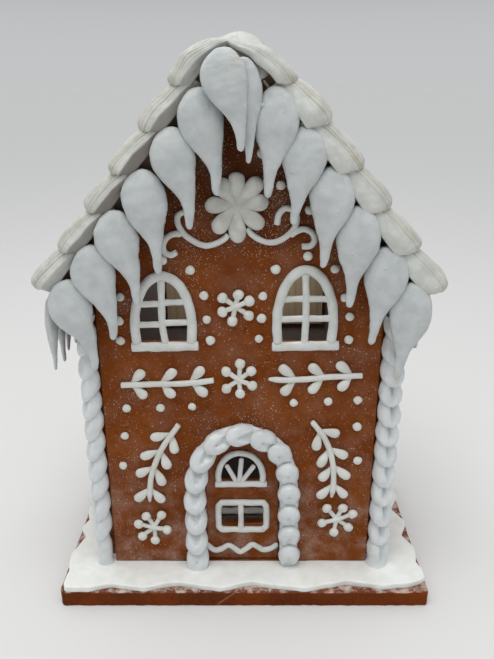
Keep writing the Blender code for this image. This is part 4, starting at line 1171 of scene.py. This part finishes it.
def side_trims():
    """Each side wall: a blind arched window between dots, over a snowflake and two short branches."""
    arch = [(-12.5, 92), (-12.8, 104), (-11, 113), (-6.4, 120), (0, 122.6), (6.4, 120), (11, 113), (12.8, 104),
            (12.5, 92)]
    parts = {"arch": arch, "sill": ((-16, 90.4), (0, 90.8), (16, 90.5)), "upright": ((0.2, 92.4), (0, 120.5)),
             "cross": (((-12, 101.6), (-0.6, 101.9)), ((0.6, 102), (12, 101.8)), ((-11.6, 111), (-0.6, 111.2)),
                       ((0.6, 111.3), (11.6, 111.1)))}
    spots = [(side * x, z) for side in (-1, 1) for x, z in ((22, 95), (23, 106), (21, 117), (10, 76), (22, 79))]
    for name, place, seed in (("side_trim_left", on_left, 1600), ("side_trim_right", on_right, 1700)):
        shapes = window_ropes(parts, seed)
        shapes += dots_on(spots, seed + 20)
        shapes += snowflake((0, 52), [(8.4, 60 * k + 24) for k in range(6)], seed + 40)
        for sign in (-1, 1):
            stem = [(sign * x, z) for x, z in ((12.5, 30), (15, 40), (19, 50), (24.5, 59))]
            shapes += branch(stem, (7.4, 7.4), -1, (0.2, 0.52, 0.84), (0.7, 1.2), seed + 60 + 3 * sign)
        piece(name, shapes, "cream", place)


def back_trim():
    """The back wall: a large snowflake in the gable and one lower down, with branches and dots."""
    seed = 1800
    shapes = snowflake((0, 185), [(13.0, 60 * k + 30) for k in range(6)], seed)
    shapes += snowflake((0, 96), [(9.0, 60 * k) for k in range(6)], seed + 20)
    for sign in (-1, 1):
        stem = [(sign * x, z) for x, z in ((52, 128), (38, 129), (25, 131), (12, 130))]
        shapes += branch(stem, (8.8, 8.8), 1, (0.1, 0.4, 0.7), (1.5, 1.5), seed + 40 + 3 * sign)
        stem = [(sign * x, z) for x, z in ((42, 44), (40, 58), (36, 70), (28, 84))]
        shapes += branch(stem, (9, 9), -1, (0.17, 0.41, 0.63, 0.86), (0.7, 1.2), seed + 60 + 3 * sign)
    spots = [(side * x, z) for side in (-1, 1)
             for x, z in ((12, 150), (30, 152), (17, 164), (14, 74), (54, 100), (30, 104), (58, 70), (16, 36))]
    shapes += dots_on(spots, seed + 80)
    piece("back_trim", shapes, "cream", on_back)


# ---- glitter


DOOR_MIDDLE, DOOR_HALF, DOOR_TOP = 1, 22, 84
FRONT_TRIALS, SIDE_GRAINS, RIM_TRIALS = 52000, 900, 16000  # a trial leaves a grain only where sugar lies
# Ornaments of the front that sugar gathers round: middle, reach
SUGARED = ((-37, 172, 15.4), (32, 174, 15.4), (-2, 156, 9.1), (0, 118, 8.4), (1, 84, 18.2), (-52, 160, 15.4),
           (50, 166, 14), (-48, 116, 11.2))


def flecks(places, size, seed):
    """A tiny eight-sided grain at each place."""
    rng = np.random.default_rng(seed)
    count = len(places)
    tips = np.array(((1, 0, 0), (-1, 0, 0), (0, 1, 0), (0, -1, 0), (0, 0, 0.6), (0, 0, -0.6)))
    turn, _ = np.linalg.qr(rng.normal(size=(count, 3, 3)))
    scale = rng.uniform(*size, count)[:, None, None] / 2
    points = places[:, None] + scale * (tips @ turn)
    faces = [(a, b, c) for a in (0, 1) for b in (2, 3) for c in (4, 5)]
    faces = np.array([f if (f[0] + f[1] + f[2]) % 2 else f[::-1] for f in faces])
    faces = (faces[None] + 6 * np.arange(count)[:, None, None]).reshape(-1, 3)
    return {"points": points.reshape(-1, 3), "faces": faces, "marks": {}}


def sugar():
    """Glitter on the walls, thickest in the gable and round the ornaments, and on the board's bare rim."""
    rng = np.random.default_rng(1900)
    spots = rng.uniform((-70, 4), (70, 262), (FRONT_TRIALS, 2))
    x, z = spots.T
    inside = z < (PEAK - BOARD_TOP) - 14 - np.abs(x) * TAN
    gable = np.clip((z - 172) / 25, 0, 1)
    near = np.max([hump(np.hypot(x - cx, z - cz), reach) for cx, cz, reach in SUGARED], 0)
    patchy = np.clip(0.55 + 0.6 * waves(spots, 26, 1901), 0.1, 1.2)
    chance = (0.08 + 0.52 * gable + 0.36 * near) * patchy
    keep = inside & (rng.uniform(size=len(spots)) < chance)
    for parts in WINDOWS.values():
        arch = np.array(parts["arch"])
        low, high = arch.min(0), arch.max(0)
        keep &= ~((x > low[0]) & (x < high[0]) & (z > low[1]) & (z < high[1] - np.abs(x - arch[5, 0]) * 0.7))
    keep &= ~((np.abs(x - DOOR_MIDDLE) < DOOR_HALF) & (z < DOOR_TOP))

    def lying(places):
        return np.column_stack([places, np.full(len(places), 0.05)])

    shapes = [flecks(on_front(lying(spots[keep])), (0.18, 0.52), 1902)]
    for place, half, top, seed in ((on_left, 30, 138, 1903), (on_right, 30, 138, 1904), (on_back, 66, 240, 1905)):
        more = rng.uniform((-half, 4), (half, top), (SIDE_GRAINS, 2))
        if place is on_back:
            more = more[more[:, 1] < 250 - np.abs(more[:, 0]) * TAN]
        shapes.append(flecks(place(lying(more)), (0.28, 0.6), seed))

    rim = rng.uniform((-99, -56.6), (99, 56.6), (RIM_TRIALS, 2))
    outline = snow_outline()
    middle = outline.mean(0)
    turn = bearing(outline, middle) % math.tau
    order = np.argsort(turn)
    reach = np.linalg.norm(outline - middle, axis=1)
    edge = np.interp(bearing(rim, middle) % math.tau, turn[order], reach[order], period=math.tau)
    bare = rim[np.linalg.norm(rim - middle, axis=1) > edge - 0.5]
    shapes.append(flecks(lying(bare) + (0, 0, BOARD_TOP), (0.25, 0.62), 1906))
    piece("sugar_glitter", shapes, "glitter")


# ---- studio


# Up the sky from the horizon to overhead: share of the way, brightness
SKY = ((0, 0.56), (0.08, 0.53), (0.2, 0.27), (0.42, 0.33), (0.7, 0.9), (1, 0.95))
# Each lamp's place, where it points, its size across in metres and its power in watts
LAMPS = {"softbox": ((-0.12, -0.30, 1.15), (0, 0, 0.12), 0.8, 5.6),
         "inside": ((0, 0.0, 0.205), (0, 0.03, 0.12), 0.03, 0.05)}
FOCAL_LENGTH, CAMERA_PITCH = 36.3, math.radians(20.5)
CAMERA_ASIDE, CAMERA_AHEAD, CAMERA_BELOW_PEAK = 0.0016, 0.3083, 0.0132  # of the house's front, in metres


def studio():
    """A pale floor under a pale sky that is brightest overhead, and one large soft light above the front."""
    scene = bpy.context.scene
    floor_mesh = bpy.data.meshes.new("floor")
    reach, sides = 30.0, 64
    ring = [(reach * math.cos(a), reach * math.sin(a), 0) for a in circle(sides)]
    floor_mesh.from_pydata(ring, [], [tuple(range(sides))])
    floor = bpy.data.objects.new("floor", floor_mesh)
    scene.collection.objects.link(floor)
    paint = bpy.data.materials.new("floor_paint")
    paint.use_nodes = True
    shader = paint.node_tree.nodes["Principled BSDF"]
    shader.inputs["Base Color"].default_value = (*srgb(226, 226, 225), 1)
    shader.inputs["Roughness"].default_value = 0.9
    floor_mesh.materials.append(paint)

    world = bpy.data.worlds.new("pale_sky")
    scene.world = world
    world.use_nodes = True
    tree = world.node_tree
    background = tree.nodes["Background"]
    upward = add_node(tree, "SeparateXYZ", {0: add_node(tree, "TexCoord").outputs["Generated"]})
    strength = add_node(tree, "FloatCurve", {"Value": upward.outputs["Z"]})
    curve = strength.mapping.curves[0]
    for height, level in SKY[1:-1]:
        curve.points.new(height, level)
    curve.points[0].location, curve.points[-1].location = SKY[0], SKY[-1]
    strength.mapping.update()
    tree.links.new(strength.outputs[0], background.inputs["Strength"])
    background.inputs["Color"].default_value = (0.98, 0.99, 1.0, 1)

    for name, (place, aim, size, energy) in LAMPS.items():
        lamp = bpy.data.lights.new(name, "AREA")
        lamp.shape, lamp.size, lamp.energy = "DISK", size, energy
        lamp.color = (1.0, 0.985, 0.96)
        light = bpy.data.objects.new(name, lamp)
        light.location = place
        light.rotation_euler = (Vector(aim) - light.location).to_track_quat("-Z", "Y").to_euler()
        scene.collection.objects.link(light)


def camera():
    """In front, a little below the height of the ridge, looking down."""
    lens = bpy.data.cameras.new("camera")
    lens.lens = FOCAL_LENGTH
    lens.clip_start, lens.clip_end = 0.01, 100
    view = bpy.data.objects.new("camera", lens)
    view.location = (CAMERA_ASIDE, FRONT * MM - CAMERA_AHEAD, PEAK * MM - CAMERA_BELOW_PEAK)
    view.rotation_euler = (math.pi / 2 - CAMERA_PITCH, 0, 0)
    bpy.context.scene.collection.objects.link(view)
    bpy.context.scene.camera = view
    bpy.context.scene.view_settings.view_transform = "Standard"


for make in (plates, board, snow_sheet, inside_floor, windows, door_ropes, flower, vines, snowflakes, branches, dots,
             garland, columns, icicles, back_icicles, eave_icicles, roof_leaves, ridge_and_back, roof_icing,
             side_trims, back_trim, sugar, studio, camera):
    make()
